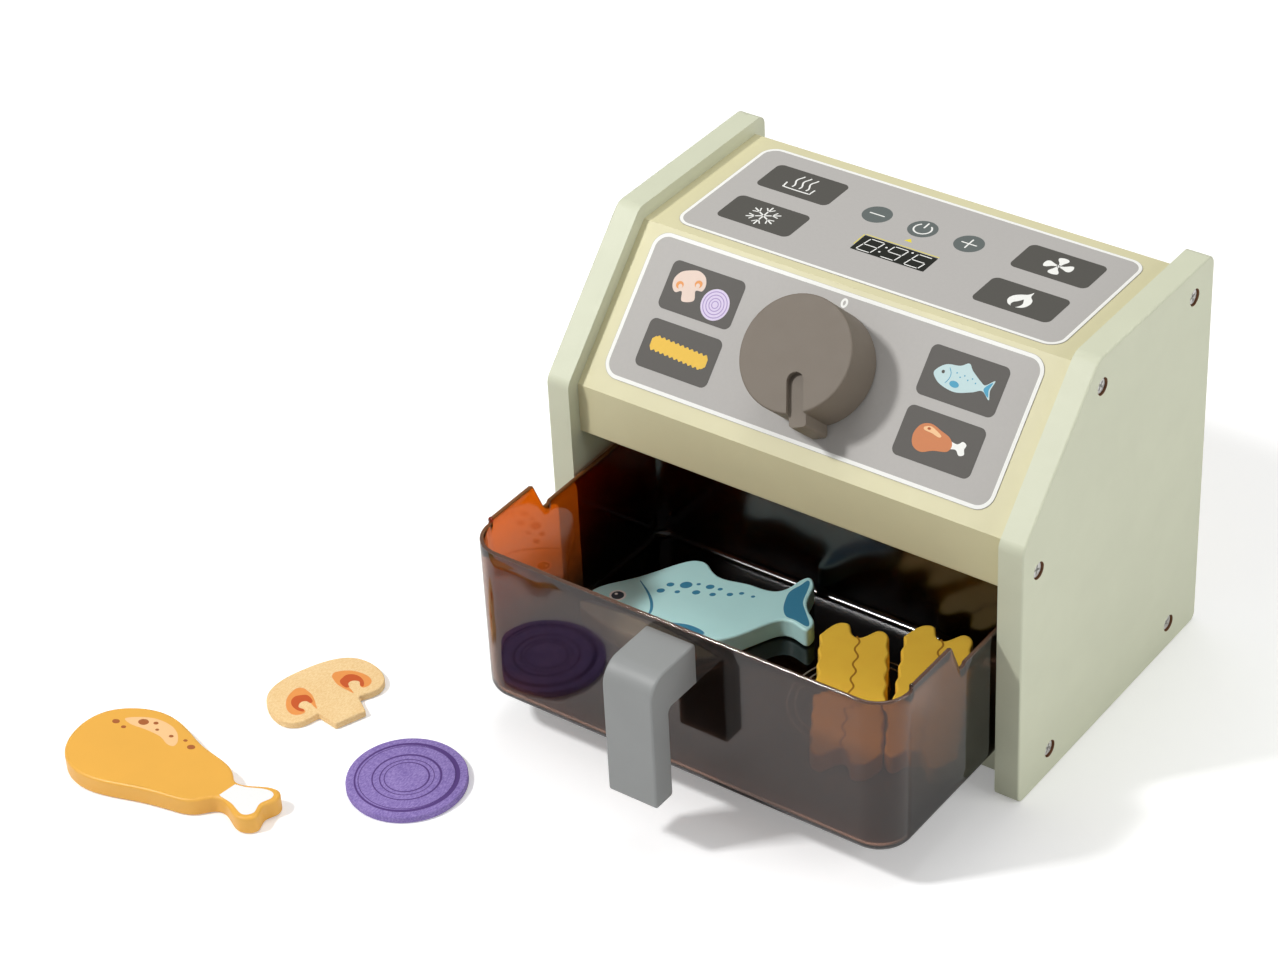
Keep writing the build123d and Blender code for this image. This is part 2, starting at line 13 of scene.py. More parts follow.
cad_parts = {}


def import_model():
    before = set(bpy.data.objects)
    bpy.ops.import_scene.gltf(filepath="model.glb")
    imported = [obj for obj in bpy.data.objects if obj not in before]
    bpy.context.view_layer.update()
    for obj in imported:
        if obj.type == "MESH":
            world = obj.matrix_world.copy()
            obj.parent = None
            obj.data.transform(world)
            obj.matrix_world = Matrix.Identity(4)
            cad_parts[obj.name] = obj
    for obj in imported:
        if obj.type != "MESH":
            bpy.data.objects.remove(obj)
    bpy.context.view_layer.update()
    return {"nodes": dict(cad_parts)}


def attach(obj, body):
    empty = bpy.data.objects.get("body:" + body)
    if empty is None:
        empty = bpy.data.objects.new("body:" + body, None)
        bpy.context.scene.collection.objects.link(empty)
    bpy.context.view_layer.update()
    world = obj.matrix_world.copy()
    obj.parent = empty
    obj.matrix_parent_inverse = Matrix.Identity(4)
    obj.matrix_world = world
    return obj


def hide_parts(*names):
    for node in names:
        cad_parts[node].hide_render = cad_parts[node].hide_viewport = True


LOG = logging.getLogger("toy_air_fryer")
MILLIMETRE = 0.001

# Added to housing coordinates, in mm, to give the frame's. Their origin is on the table, midway between the
# side panels' front edges.
SET_SHIFT = np.array([64.99, 27.309, 0.0])

# The control board's slope in radians, and its run, its lower front edge and the top board's face in mm.
SLOPE = math.atan2(195.8 - 134.5, 58.8)
BOARD_RUN = 54.7
LIP_Y = 7.0
TOP_Z = 188.8
LIP_Z = TOP_Z - BOARD_RUN * math.tan(SLOPE)

# Thickness of the labels' film and of one layer of ink, in mm.
FILM = 0.3
INK = 0.03

# Places along y and z of the screws in a side panel, in mm.
SCREW_WELLS = ((140.1, 182.3), (61.7, 181.3), (12.7, 117.8), (131.2, 13.4), (26.0, 13.5))

Points = np.ndarray
Value = Union[float, Sequence[float], bpy.types.NodeSocket]


class Body(str, Enum):
    """The moving bodies that pieces ride on."""

    HOUSING = "housing"
    DRAWER = "drawer"
    FISH = "fish_piece"
    FRONT_FRIES = "front_fries_piece"
    BACK_FRIES = "back_fries_piece"
    TABLE_ONION = "table_onion_piece"
    DRUMSTICK = "drumstick_piece"
    MUSHROOM = "mushroom_piece"


def srgb(code: str) -> tuple[float, float, float, float]:
    """Turn an sRGB hex colour into linear RGBA.

    Args:
        code: Six hex digits, such as "DDE0CE".

    Returns:
        Linear red, green, blue and an alpha of 1.
    """
    parts = np.array([int(code[i:i + 2], 16) for i in (0, 2, 4)]) / 255.0
    linear = np.where(parts <= 0.04045, parts / 12.92, ((parts + 0.055) / 1.055) ** 2.4)
    return (float(linear[0]), float(linear[1]), float(linear[2]), 1.0)


class Graph:
    """The node tree of a material or world, with one call for adding a node."""

    def __init__(self, owner: Union[bpy.types.Material, bpy.types.World]) -> None:
        """Open the node tree.

        Args:
            owner: The new material or world that it belongs to.
        """
        owner.use_nodes = True
        self.owner = owner
        self.nodes = owner.node_tree.nodes
        self.links = owner.node_tree.links
        self.shader = self.nodes.get("Principled BSDF")

    def add(self, kind: str, inputs: dict[Union[int, str], Value], **settings: object) -> bpy.types.Node:
        """Add a node with its settings, values and links.

        Args:
            kind: The node's type name.
            inputs: Values or sockets by input name or number.
            settings: Attributes of the node.

        Returns:
            The new node.
        """
        node = self.nodes.new(kind)
        for key, setting in settings.items():
            setattr(node, key, setting)
        self.feed(node, inputs)
        return node

    def feed(self, node: bpy.types.Node, inputs: dict[Union[int, str], Value]) -> None:
        """Set or link a node's inputs.

        Args:
            node: The node to feed.
            inputs: Values or sockets by input name or number.
        """
        for key, value in inputs.items():
            if isinstance(value, bpy.types.NodeSocket):
                self.links.new(value, node.inputs[key])
            else:
                node.inputs[key].default_value = value

    def place(self) -> bpy.types.NodeSocket:
        """Return the object coordinates, in metres of the shared frame."""
        return self.add("ShaderNodeTexCoord", {}).outputs["Object"]

    def seen(self) -> bpy.types.NodeSocket:
        """Return 1 for rays from the camera and rays through the drawer, and 0 for all others."""
        path = self.add("ShaderNodeLightPath", {})
        return self.math("MAXIMUM", path.outputs["Is Camera Ray"], path.outputs["Is Transmission Ray"])

    def noise(self, size_mm: float, detail: float = 3.0,
              stretch: Sequence[float] = (1, 1, 1)) -> bpy.types.NodeSocket:
        """Return a noise of about the given feature size.

        Args:
            size_mm: Size of one blotch in mm.
            detail: Number of finer octaves.
            stretch: Scale along x, y and z; less than 1 draws the blotches out.

        Returns:
            The noise's value from 0 to 1.
        """
        spread = self.add("ShaderNodeMapping", {"Vector": self.place(), "Scale": tuple(stretch)})
        inputs = {"Vector": spread.outputs[0], "Scale": 1.0 / (size_mm * MILLIMETRE), "Detail": detail}
        return self.add("ShaderNodeTexNoise", inputs).outputs[0]

    def mix(self, factor: Value, low: Value, high: Value) -> bpy.types.NodeSocket:
        """Return a colour between two colours, by a factor from 0 to 1."""
        return self.add("ShaderNodeMix", {0: factor, 6: low, 7: high}, data_type="RGBA").outputs[2]

    def span(self, value: bpy.types.NodeSocket, low: float, high: float,
             to_low: float = 0.0, to_high: float = 1.0) -> bpy.types.NodeSocket:
        """Return a value stretched from one range to another, and clamped."""
        return self.add("ShaderNodeMapRange", {"Value": value, "From Min": low, "From Max": high,
                                               "To Min": to_low, "To Max": to_high}).outputs[0]

    def math(self, operation: str, first: Value, second: Value = 0.0) -> bpy.types.NodeSocket:
        """Return the result of a math node."""
        return self.add("ShaderNodeMath", {0: first, 1: second}, operation=operation).outputs[0]

    def bump(self, height: bpy.types.NodeSocket, depth_mm: float, strength: float = 1.0) -> None:
        """Feed a height into the shader's normal."""
        inputs = {"Height": height, "Distance": depth_mm * MILLIMETRE, "Strength": strength}
        self.feed(self.shader, {"Normal": self.add("ShaderNodeBump", inputs).outputs[0]})


def shades(code: str, spread: float) -> tuple[Sequence[float], Sequence[float]]:
    """Return a darker and a lighter version of a colour.

    Args:
        code: The colour's six sRGB hex digits.
        spread: Share by which the versions depart from it.

    Returns:
        The two linear colours.
    """
    base = np.array(srgb(code))
    low = base * (1 - spread)
    high = np.minimum(base * (1 + spread), 1.0)
    low[3] = 1.0
    high[3] = 1.0
    return tuple(low), tuple(high)


@dataclass(frozen=True)
class Paint:
    """Satin paint on board or wood: even and soft, with faint blotches and a roller's fine texture."""

    name: str
    colour: str
    roughness: float = 0.5
    blotch: float = 0.018
    blotch_mm: float = 22.0
    texture_mm: float = 0.9
    texture_depth: float = 0.02

    def colour_socket(self, graph: Graph) -> bpy.types.NodeSocket:
        """Return the paint's colour with its blotches."""
        low, high = shades(self.colour, self.blotch)
        return graph.mix(graph.span(graph.noise(self.blotch_mm, 4.0), 0.3, 0.7), low, high)

    def build(self) -> bpy.types.Material:
        """Make the material.

        Returns:
            Paint whose gloss wanders a little over 6 mm patches.
        """
        graph = Graph(bpy.data.materials.new(self.name))
        rough = graph.span(graph.noise(6.0), 0.3, 0.7, self.roughness - 0.02, self.roughness + 0.02)
        graph.feed(graph.shader, {"Base Color": self.colour_socket(graph), "Roughness": rough, "IOR": 1.5})
        graph.bump(graph.noise(self.texture_mm, 2.0), self.texture_depth)
        return graph.owner


@dataclass(frozen=True)
class WelledPaint(Paint):
    """Board paint that leaves the screw wells' walls in bare brown fibreboard."""

    wells: tuple[tuple[float, float], ...] = ()
    well_radius: float = 4.05
    fibre: str = "8A5A35"
    dark_fibre: str = "5E3A20"

    def colour_socket(self, graph: Graph) -> bpy.types.NodeSocket:
        """Return the paint with a brown disc around each screw's axis.

        Args:
            graph: The material's node tree.

        Returns:
            Paint, or fibres within a well's radius of the nearest screw's axis.
        """
        paint = super().colour_socket(graph)
        split = graph.add("ShaderNodeSeparateXYZ", {"Vector": graph.place()})
        flat = graph.add("ShaderNodeCombineXYZ", {0: 0.0, 1: split.outputs[1], 2: split.outputs[2]})
        nearest: Value = 1.0
        for y, z in self.wells:
            centre = (0.0, (y + SET_SHIFT[1]) * MILLIMETRE, z * MILLIMETRE)
            reach = graph.add("ShaderNodeVectorMath", {0: flat.outputs[0], 1: centre}, operation="DISTANCE")
            nearest = graph.math("MINIMUM", reach.outputs["Value"], nearest)
        inside = graph.span(nearest, (self.well_radius + 0.02) * MILLIMETRE, self.well_radius * MILLIMETRE)
        fibres = graph.mix(graph.noise(0.5, 4.0), srgb(self.fibre), srgb(self.dark_fibre))
        return graph.mix(inside, paint, fibres)


@dataclass(frozen=True)
class Ink:
    """Matt screen ink, printed film or moulded nylon: flat in colour, with a trace of fine grain."""

    name: str
    colour: str
    roughness: float = 0.62
    grain: float = 0.03

    def build(self) -> bpy.types.Material:
        """Make the material.

        Returns:
            A matt surface with grain of 0.35 mm in its height and 1.5 mm in its colour.
        """
        graph = Graph(bpy.data.materials.new(self.name))
        low, high = shades(self.colour, self.grain)
        graph.feed(graph.shader, {"Base Color": graph.mix(graph.noise(1.5, 4.0), low, high),
                                  "Roughness": self.roughness, "IOR": 1.5, "Specular IOR Level": 0.35})
        graph.bump(graph.noise(0.35), 0.01)
        return graph.owner


@dataclass(frozen=True)
class Fibrous:
    """Dyed soft-pressed wood or felt: dull, with a speckle of light and dark fibres."""

    name: str
    colour: str
    dark: str
    fleck_mm: float = 0.7
    depth: float = 0.12
    roughness: float = 0.85

    def build(self) -> bpy.types.Material:
        """Make the material.

        Returns:
            A dull surface whose flecks are drawn out along y and lie on 9 mm clouds.
        """
        graph = Graph(bpy.data.materials.new(self.name))
        flecks = graph.noise(self.fleck_mm, 6.0, (1.0, 0.45, 1.0))
        clouds = graph.math("MULTIPLY", graph.noise(9.0), 0.25)
        speckle = graph.math("ADD", graph.math("MULTIPLY", flecks, 0.75), clouds)
        colour = graph.mix(graph.span(speckle, 0.38, 0.62), srgb(self.dark), srgb(self.colour))
        graph.feed(graph.shader, {"Base Color": colour, "Roughness": self.roughness, "IOR": 1.45})
        graph.bump(flecks, self.depth)
        return graph.owner


@dataclass(frozen=True)
class Smoked:
    """Smoky see-through plastic, polished, with faint moulding ripples.

    Its colour holds painted light: a painted shade darkens it towards the floor, a painted orange glow
    stands for light shining through the left wing, and a plum painted shade covers the front and right
    walls, where no light comes through.
    The rear wall is scuffed dull by the sliding. Places and the widths of fades are in housing mm.
    """

    name: str = "smoked polycarbonate"
    painted_light_at_floor: str = "2E1E14"
    # Colours: at the floor a painted shade, at the left wing a painted orange glow of light shining through,
    # and at the front and right walls a painted shade in plum.
    glow: str = "CF5A04"
    shaded_plum: str = "84604F"
    front_y: float = -70.0
    rear_y: float = 50.0
    floor_fade_z: tuple[float, float] = (30.0, 100.0)
    wing_fade: float = 60.0
    wall_fade: float = 8.0
    scuff_fade: float = 4.0
    scuff: float = 0.1
    roughness: float = 0.04
    clear: float = 1.0

    def build(self) -> bpy.types.Material:
        """Make the material.

        Returns:
            Clear plastic tinted with painted light: painted shade towards the floor, a painted glow on the
                left fading to plum shade on the right, and plum shade at the front wall.
        """
        graph = Graph(bpy.data.materials.new(self.name))
        across, along, up = graph.add("ShaderNodeSeparateXYZ", {"Vector": graph.place()}).outputs
        middle = SET_SHIFT[0] * MILLIMETRE
        front = (self.front_y + SET_SHIFT[1]) * MILLIMETRE
        rear = (self.rear_y + SET_SHIFT[1]) * MILLIMETRE
        wing, wall, worn = (fade * MILLIMETRE for fade in (self.wing_fade, self.wall_fade, self.scuff_fade))
        low, high = (height * MILLIMETRE for height in self.floor_fade_z)
        # Painted light: the orange glow on the left fades to the plum shade on the right, painted shade
        # darkens the colour towards the floor, and the front wall takes the plum shade.
        upper = graph.mix(graph.span(across, middle, middle + wing), srgb(self.glow), srgb(self.shaded_plum))
        inner = graph.mix(graph.span(up, low, high), srgb(self.painted_light_at_floor), upper)
        tint = graph.mix(graph.span(along, front - wall, front + wall), srgb(self.shaded_plum), inner)
        haze = graph.span(graph.noise(30.0, 4.0), 0.35, 0.75, self.roughness, self.roughness + 0.05)
        haze = graph.math("ADD", haze, graph.span(along, rear - worn, rear, 0.0, self.scuff))
        graph.feed(graph.shader, {"Base Color": tint, "Roughness": haze, "IOR": 1.585,
                                  "Transmission Weight": self.clear})
        graph.bump(graph.noise(38.0, 1.0), 0.25, 0.35)
        return graph.owner


@dataclass(frozen=True)
class Plated:
    """Plated steel or brass: a metal's shine, broken by fine drawn scratches."""

    name: str
    colour: str
    roughness: float = 0.28
    metallic: float = 1.0

    def build(self) -> bpy.types.Material:
        """Make the material.

        Returns:
            Metal with scratches 0.25 mm wide, drawn out along y.
        """
        graph = Graph(bpy.data.materials.new(self.name))
        scratches = graph.noise(0.25, 3.0, (1.0, 0.15, 1.0))
        rough = graph.span(scratches, 0.3, 0.7, self.roughness - 0.07, self.roughness + 0.1)
        graph.feed(graph.shader, {"Base Color": srgb(self.colour), "Metallic": self.metallic,
                                  "Roughness": rough})
        graph.bump(scratches, 0.008)
        return graph.owner


@dataclass(frozen=True)
class Sheet:
    """A flat frame that prints lie in, in housing mm."""

    origin: tuple[float, float, float]
    x_axis: tuple[float, float, float] = (1.0, 0.0, 0.0)
    y_axis: tuple[float, float, float] = (0.0, 1.0, 0.0)

    def lift(self, flat: Points, height: Union[float, Points]) -> Points:
        """Turn flat points and heights into metres of the shared frame.

        Args:
            flat: Points of shape (n, 2), in mm.
            height: Height above the sheet, in mm, one for all or one each.

        Returns:
            Points of shape (n, 3): origin plus x and y along the axes plus height along their normal.
        """
        x_axis, y_axis = np.array(self.x_axis), np.array(self.y_axis)
        normal = np.cross(x_axis, y_axis)
        heights = np.broadcast_to(np.asarray(height, float), (len(flat),))
        spread = flat[:, :1] * x_axis + flat[:, 1:] * y_axis + heights[:, None] * normal
        return (spread + np.array(self.origin) + SET_SHIFT) * MILLIMETRE

    def turned(self, x: float, y: float, degrees: float) -> "Sheet":
        """Return the same sheet moved to a flat point and turned there.

        Args:
            x: The point's place along the sheet's x, in mm.
            y: The point's place along the sheet's y, in mm.
            degrees: Turn, counter-clockwise seen from above the sheet.

        Returns:
            The sheet whose origin is that point.
        """
        x_axis, y_axis = np.array(self.x_axis), np.array(self.y_axis)
        angle = math.radians(degrees)
        new_x = math.cos(angle) * x_axis + math.sin(angle) * y_axis
        new_y = math.cos(angle) * y_axis - math.sin(angle) * x_axis
        origin = np.array(self.origin) + x * x_axis + y * y_axis
        return Sheet(tuple(origin), tuple(new_x), tuple(new_y))


# The upper faces of the two films, which the prints lie on.
TOP_SHEET = Sheet((0.0, 0.0, TOP_Z + FILM))
CONTROL_SHEET = Sheet(
    (0.0, LIP_Y - FILM * math.sin(SLOPE), LIP_Z + FILM * math.cos(SLOPE)),
    (1.0, 0.0, 0.0), (0.0, math.cos(SLOPE), math.sin(SLOPE)))


def disc(x: float, y: float, radius: float, squash: float = 1.0, turn: float = 0.0,
         count: int = 48) -> Points:
    """Return a circle or ellipse outline: centre plus radius times cosine and squashed sine.

    Args:
        x: The centre's place along x, in mm.
        y: The centre's place along y, in mm.
        radius: Radius along the ellipse's own x, in mm.
        squash: Share of the radius along its own y.
        turn: Turn in degrees.
        count: Number of points.

    Returns:
        Outline of shape (count, 2).
    """
    angle = np.linspace(0, 2 * np.pi, count, endpoint=False)
    flat = np.stack([np.cos(angle), np.sin(angle) * squash], axis=1) * radius
    return rotate(flat, turn) + (x, y)


def rotate(flat: Points, degrees: float) -> Points:
    """Turn flat points about the origin."""
    angle = math.radians(degrees)
    return flat @ np.array([[math.cos(angle), math.sin(angle)], [-math.sin(angle), math.cos(angle)]])


def rounded_box(x: float, y: float, width: float, height: float, radius: float, steps: int = 8) -> Points:
    """Return a rectangle outline whose corners are quarter circles.

    Args:
        x: The middle's place along x, in mm.
        y: The middle's place along y, in mm.
        width: Size along x, in mm.
        height: Size along y, in mm.
        radius: Radius of the corners, in mm.
        steps: Points per corner.

    Returns:
        Outline of shape (4 * steps, 2).
    """
    quarter = np.linspace(0, np.pi / 2, steps)
    arcs = []
    for corner, (sx, sy) in enumerate(((1, 1), (-1, 1), (-1, -1), (1, -1))):
        centre = np.array([sx * (width / 2 - radius), sy * (height / 2 - radius)])
        angle = quarter + corner * np.pi / 2
        arcs.append(centre + radius * np.stack([np.cos(angle), np.sin(angle)], axis=1))
    return np.concatenate(arcs) + (x, y)


def smooth(points: Sequence[Sequence[float]], per_span: int = 10, closed: bool = True) -> Points:
    """Return a curve through points, each span a Catmull-Rom cubic.

    Args:
        points: Points that the curve passes.
        per_span: Samples per span.
        closed: Whether the last point joins the first.

    Returns:
        Curve points of shape (n, 2).
    """
    knots = np.asarray(points, float)
    if closed:
        before, after, beyond = np.roll(knots, 1, 0), np.roll(knots, -1, 0), np.roll(knots, -2, 0)
        here = knots
    else:
        padded = np.concatenate([2 * knots[:1] - knots[1:2], knots, 2 * knots[-1:] - knots[-2:-1]])
        before, here, after, beyond = padded[:-3], padded[1:-2], padded[2:-1], padded[3:]
    t = np.linspace(0, 1, per_span, endpoint=False)[None, :, None]
    a, b, c, d = (item[:, None, :] for item in (before, here, after, beyond))
    cubic = (3 * b - a - 3 * c + d) * t ** 3
    curve = 0.5 * (2 * b + (c - a) * t + (2 * a - 5 * b + 4 * c - d) * t ** 2 + cubic)
    curve = curve.reshape(-1, 2)
    return curve if closed else np.concatenate([curve, knots[-1:]])


def normals(path: Points, closed: bool) -> Points:
    """Return unit normals to the left of a flat path, square to the chord between each point's neighbours.

    Args:
        path: Points of shape (n, 2).
        closed: Whether the last point joins the first.

    Returns:
        Normals of shape (n, 2).
    """
    if closed:
        along = np.roll(path, -1, 0) - np.roll(path, 1, 0)
    else:
        along = np.gradient(path, axis=0)
    along = along / np.linalg.norm(along, axis=1, keepdims=True)
    return np.stack([-along[:, 1], along[:, 0]], axis=1)


def round_end(centre: Points, left: Points) -> Points:
    """Return a half circle round a line's end: centre plus cosine of left plus sine of forward.

    Args:
        centre: The line's end, of shape (2,).
        left: Half the line's width, as a vector to its left.

    Returns:
        Points of shape (6, 2), from the left side to the right.
    """
    turn = np.linspace(0, np.pi, 8)[1:-1, None]
    forward = np.array([left[1], -left[0]])
    return centre + np.cos(turn) * left + np.sin(turn) * forward


def upright(flat: Points) -> Points:
    """Return an outline in counter-clockwise order, judged by its signed area.

    Args:
        flat: Outline of shape (n, 2).

    Returns:
        The same points, turned round where they ran clockwise.
    """
    x, y = flat[:, 0], flat[:, 1]
    area = np.sum(x * np.roll(y, -1) - np.roll(x, -1) * y)
    return flat if area > 0 else flat[::-1]


def ring_faces(rows: int, around: int) -> Points:
    """Return the quads between rings of points, each ring closed.

    Args:
        rows: Number of rings.
        around: Points in a ring.

    Returns:
        Point numbers of shape ((rows - 1) * around, 4).
    """
    row, column = np.meshgrid(np.arange(rows - 1), np.arange(around), indexing="ij")
    following = (column + 1) % around
    low, high = row * around, (row + 1) * around
    return np.stack([low + column, low + following, high + following, high + column], axis=-1).reshape(-1, 4)


class Shell:
    """Collects closed surfaces and turns them into one mesh object."""

    def __init__(self) -> None:
        """Start with nothing in it."""
        self.points: list[Points] = []
        self.faces: list[list[int]] = []
        self.slots: list[int] = []
        self.count = 0

    def add(self, points: Points, faces: list[list[int]], slot: int = 0) -> None:
        """Add a surface.

        Args:
            points: Points of shape (n, 3), in metres.
            faces: Point numbers of each face, counted from 0.
            slot: Material slot of the faces.
        """
        self.points.append(points)
        self.faces.extend([[index + self.count for index in face] for face in faces])
        self.slots.extend([slot] * len(faces))
        self.count += len(points)

    def stack(self, rings: Points, slot: int = 0) -> None:
        """Add a closed body from rings of points, with flat caps at both ends.

        Args:
            rings: Array of shape (rings, points, 3), counter-clockwise seen from the last ring's side.
            slot: Material slot of its faces.
        """
        levels, around = rings.shape[:2]
        faces = ring_faces(levels, around).tolist()
        faces.append(list(range(around))[::-1])
        faces.append(list(range((levels - 1) * around, levels * around)))
        self.add(rings.reshape(-1, 3), faces, slot)

    def band(self, rings: Points, slot: int = 0) -> None:
        """Add a closed band from rings of points, whose last ring joins the first.

        Args:
            rings: Array of shape (rings, points, 3), in order round the band's section.
            slot: Material slot of its faces.
        """
        levels, around = rings.shape[:2]
        faces = ring_faces(levels + 1, around) % (levels * around)
        self.add(rings.reshape(-1, 3), faces.tolist(), slot)

    def build(self, name: str, materials: Sequence[bpy.types.Material],
              sharp: float = 35.0) -> bpy.types.Object:
        """Make the object, smooth-shaded but for its sharp edges.

        Args:
            name: The object's name.
            materials: Materials of its slots, in order.
            sharp: Least angle of a sharp edge, in degrees.

        Returns:
            The new object, linked to the scene.
        """
        mesh = bpy.data.meshes.new(name)
        mesh.from_pydata(np.concatenate(self.points), [], self.faces)
        mesh.polygons.foreach_set("material_index", np.array(self.slots, np.int32))
        for material in materials:
            mesh.materials.append(material)
        mesh.validate()
        mesh.shade_smooth()
        mesh.set_sharp_from_angle(angle=math.radians(sharp))
        piece = bpy.data.objects.new(name, mesh)
        bpy.context.scene.collection.objects.link(piece)
        return piece


def layer_heights(layer: int) -> tuple[float, float]:
    """Return an ink layer's lowest and highest height in mm; it dips halfway into the layers below."""
    return (layer - 1) * INK * 0.5, layer * INK


class Print:
    """Ink shapes on one sheet, one material slot per colour, each a film with closed sides."""

    def __init__(self, sheet: Sheet) -> None:
        """Start a print.

        Args:
            sheet: The sheet that it lies on.
        """
        self.base = sheet
        self.sheet = sheet
        self.shell = Shell()
        self.inks: list[bpy.types.Material] = []

    def about(self, x: float, y: float, turn: float = 0.0) -> None:
        """Draw from here on about a point of the sheet, turned by some degrees."""
        self.sheet = self.base.turned(x, y, turn)

    def slot(self, ink: bpy.types.Material) -> int:
        """Return the slot number of an ink.

        Args:
            ink: The ink, added when it is new.

        Returns:
            Its place in the list of inks.
        """
        if ink not in self.inks:
            self.inks.append(ink)
        return self.inks.index(ink)

    def fill(self, outline: Points, ink: bpy.types.Material, layer: int = 1) -> None:
        """Add a filled shape.

        Args:
            outline: Outline of shape (n, 2), in mm.
            ink: The shape's ink.
            layer: Number of the ink layer, counted from 1 at the sheet.
        """
        flat = upright(outline)
        rings = np.stack([self.sheet.lift(flat, height) for height in layer_heights(layer)])
        self.shell.stack(rings, self.slot(ink))

    def ring(self, outer: Points, inner: Points, ink: bpy.types.Material, layer: int = 1) -> None:
        """Add a band between two outlines.

        Args:
            outer: Outline of shape (n, 2), in mm.
            inner: Outline inside it with as many points.
            ink: The band's ink.
            layer: Number of the ink layer, counted from 1 at the sheet.
        """
        low, high = layer_heights(layer)
        outer, inner = upright(outer), upright(inner)
        section = ((outer, low), (outer, high), (inner, high), (inner, low))
        rings = np.stack([self.sheet.lift(flat, height) for flat, height in section])
        self.shell.band(rings, self.slot(ink))

    def stroke(self, path: Points, width: float, ink: bpy.types.Material, layer: int = 1,
               closed: bool = False) -> None:
        """Add a line of even width, with round ends unless it is closed.

        Args:
            path: The line's middle, of shape (n, 2), in mm.
            width: The line's width in mm.
            ink: The line's ink.
            layer: Number of the ink layer, counted from 1 at the sheet.
            closed: Whether the last point joins the first.
        """
        side = normals(path, closed) * width / 2
        left, right = path + side, path - side
        if closed:
            self.ring(left, right, ink, layer)
        else:
            ends = round_end(path[-1], side[-1]), round_end(path[0], -side[0])
            self.fill(np.concatenate([left, ends[0], right[::-1], ends[1]]), ink, layer)

    def finish(self, name: str, body: Body, slot: str) -> bpy.types.Object:
        """Make the object and let it ride on its body.

        Args:
            name: The piece's name.
            body: The body that carries it.
            slot: The record's material slot; not used.

        Returns:
            The printed piece.
        """
        piece = self.shell.build(name, self.inks)
        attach(piece, body.value)
        return piece


@dataclass(frozen=True)
class Inks:
    """The print colours."""

    white: bpy.types.Material
    charcoal: bpy.types.Material
    ash: bpy.types.Material
    slate: bpy.types.Material
    black: bpy.types.Material
    yellow: bpy.types.Material
    blush: bpy.types.Material
    apricot: bpy.types.Material
    rust: bpy.types.Material
    lilac: bpy.types.Material
    violet: bpy.types.Material
    corn: bpy.types.Material
    ice: bpy.types.Material
    teal: bpy.types.Material
    roast: bpy.types.Material
    pale: bpy.types.Material

    @classmethod
    def make(cls) -> "Inks":
        """Make one ink material for each colour.

        Returns:
            The set of inks.
        """
        codes = {"white": "F1F1EC", "charcoal": "52504B", "ash": "5A5753", "slate": "616866",
                 "black": "15170F", "yellow": "E3D23C", "blush": "E4CEC0", "apricot": "E39A5B",
                 "rust": "B4562B", "lilac": "D8CBE4", "violet": "A893C4", "corn": "E9BE4C",
                 "ice": "C0D8D9", "teal": "4F9FBE", "roast": "CC8053", "pale": "F1C493"}
        return cls(**{name: Ink(f"screen ink {name}", code).build() for name, code in codes.items()})


@dataclass(frozen=True)
class KeySize:
    """Size of a printed key, in mm."""

    width: float
    height: float
    corner: float = 3.2

    def outline(self, x: float, y: float) -> Points:
        """Return the key's outline about a point."""
        return rounded_box(x, y, self.width, self.height, self.corner)


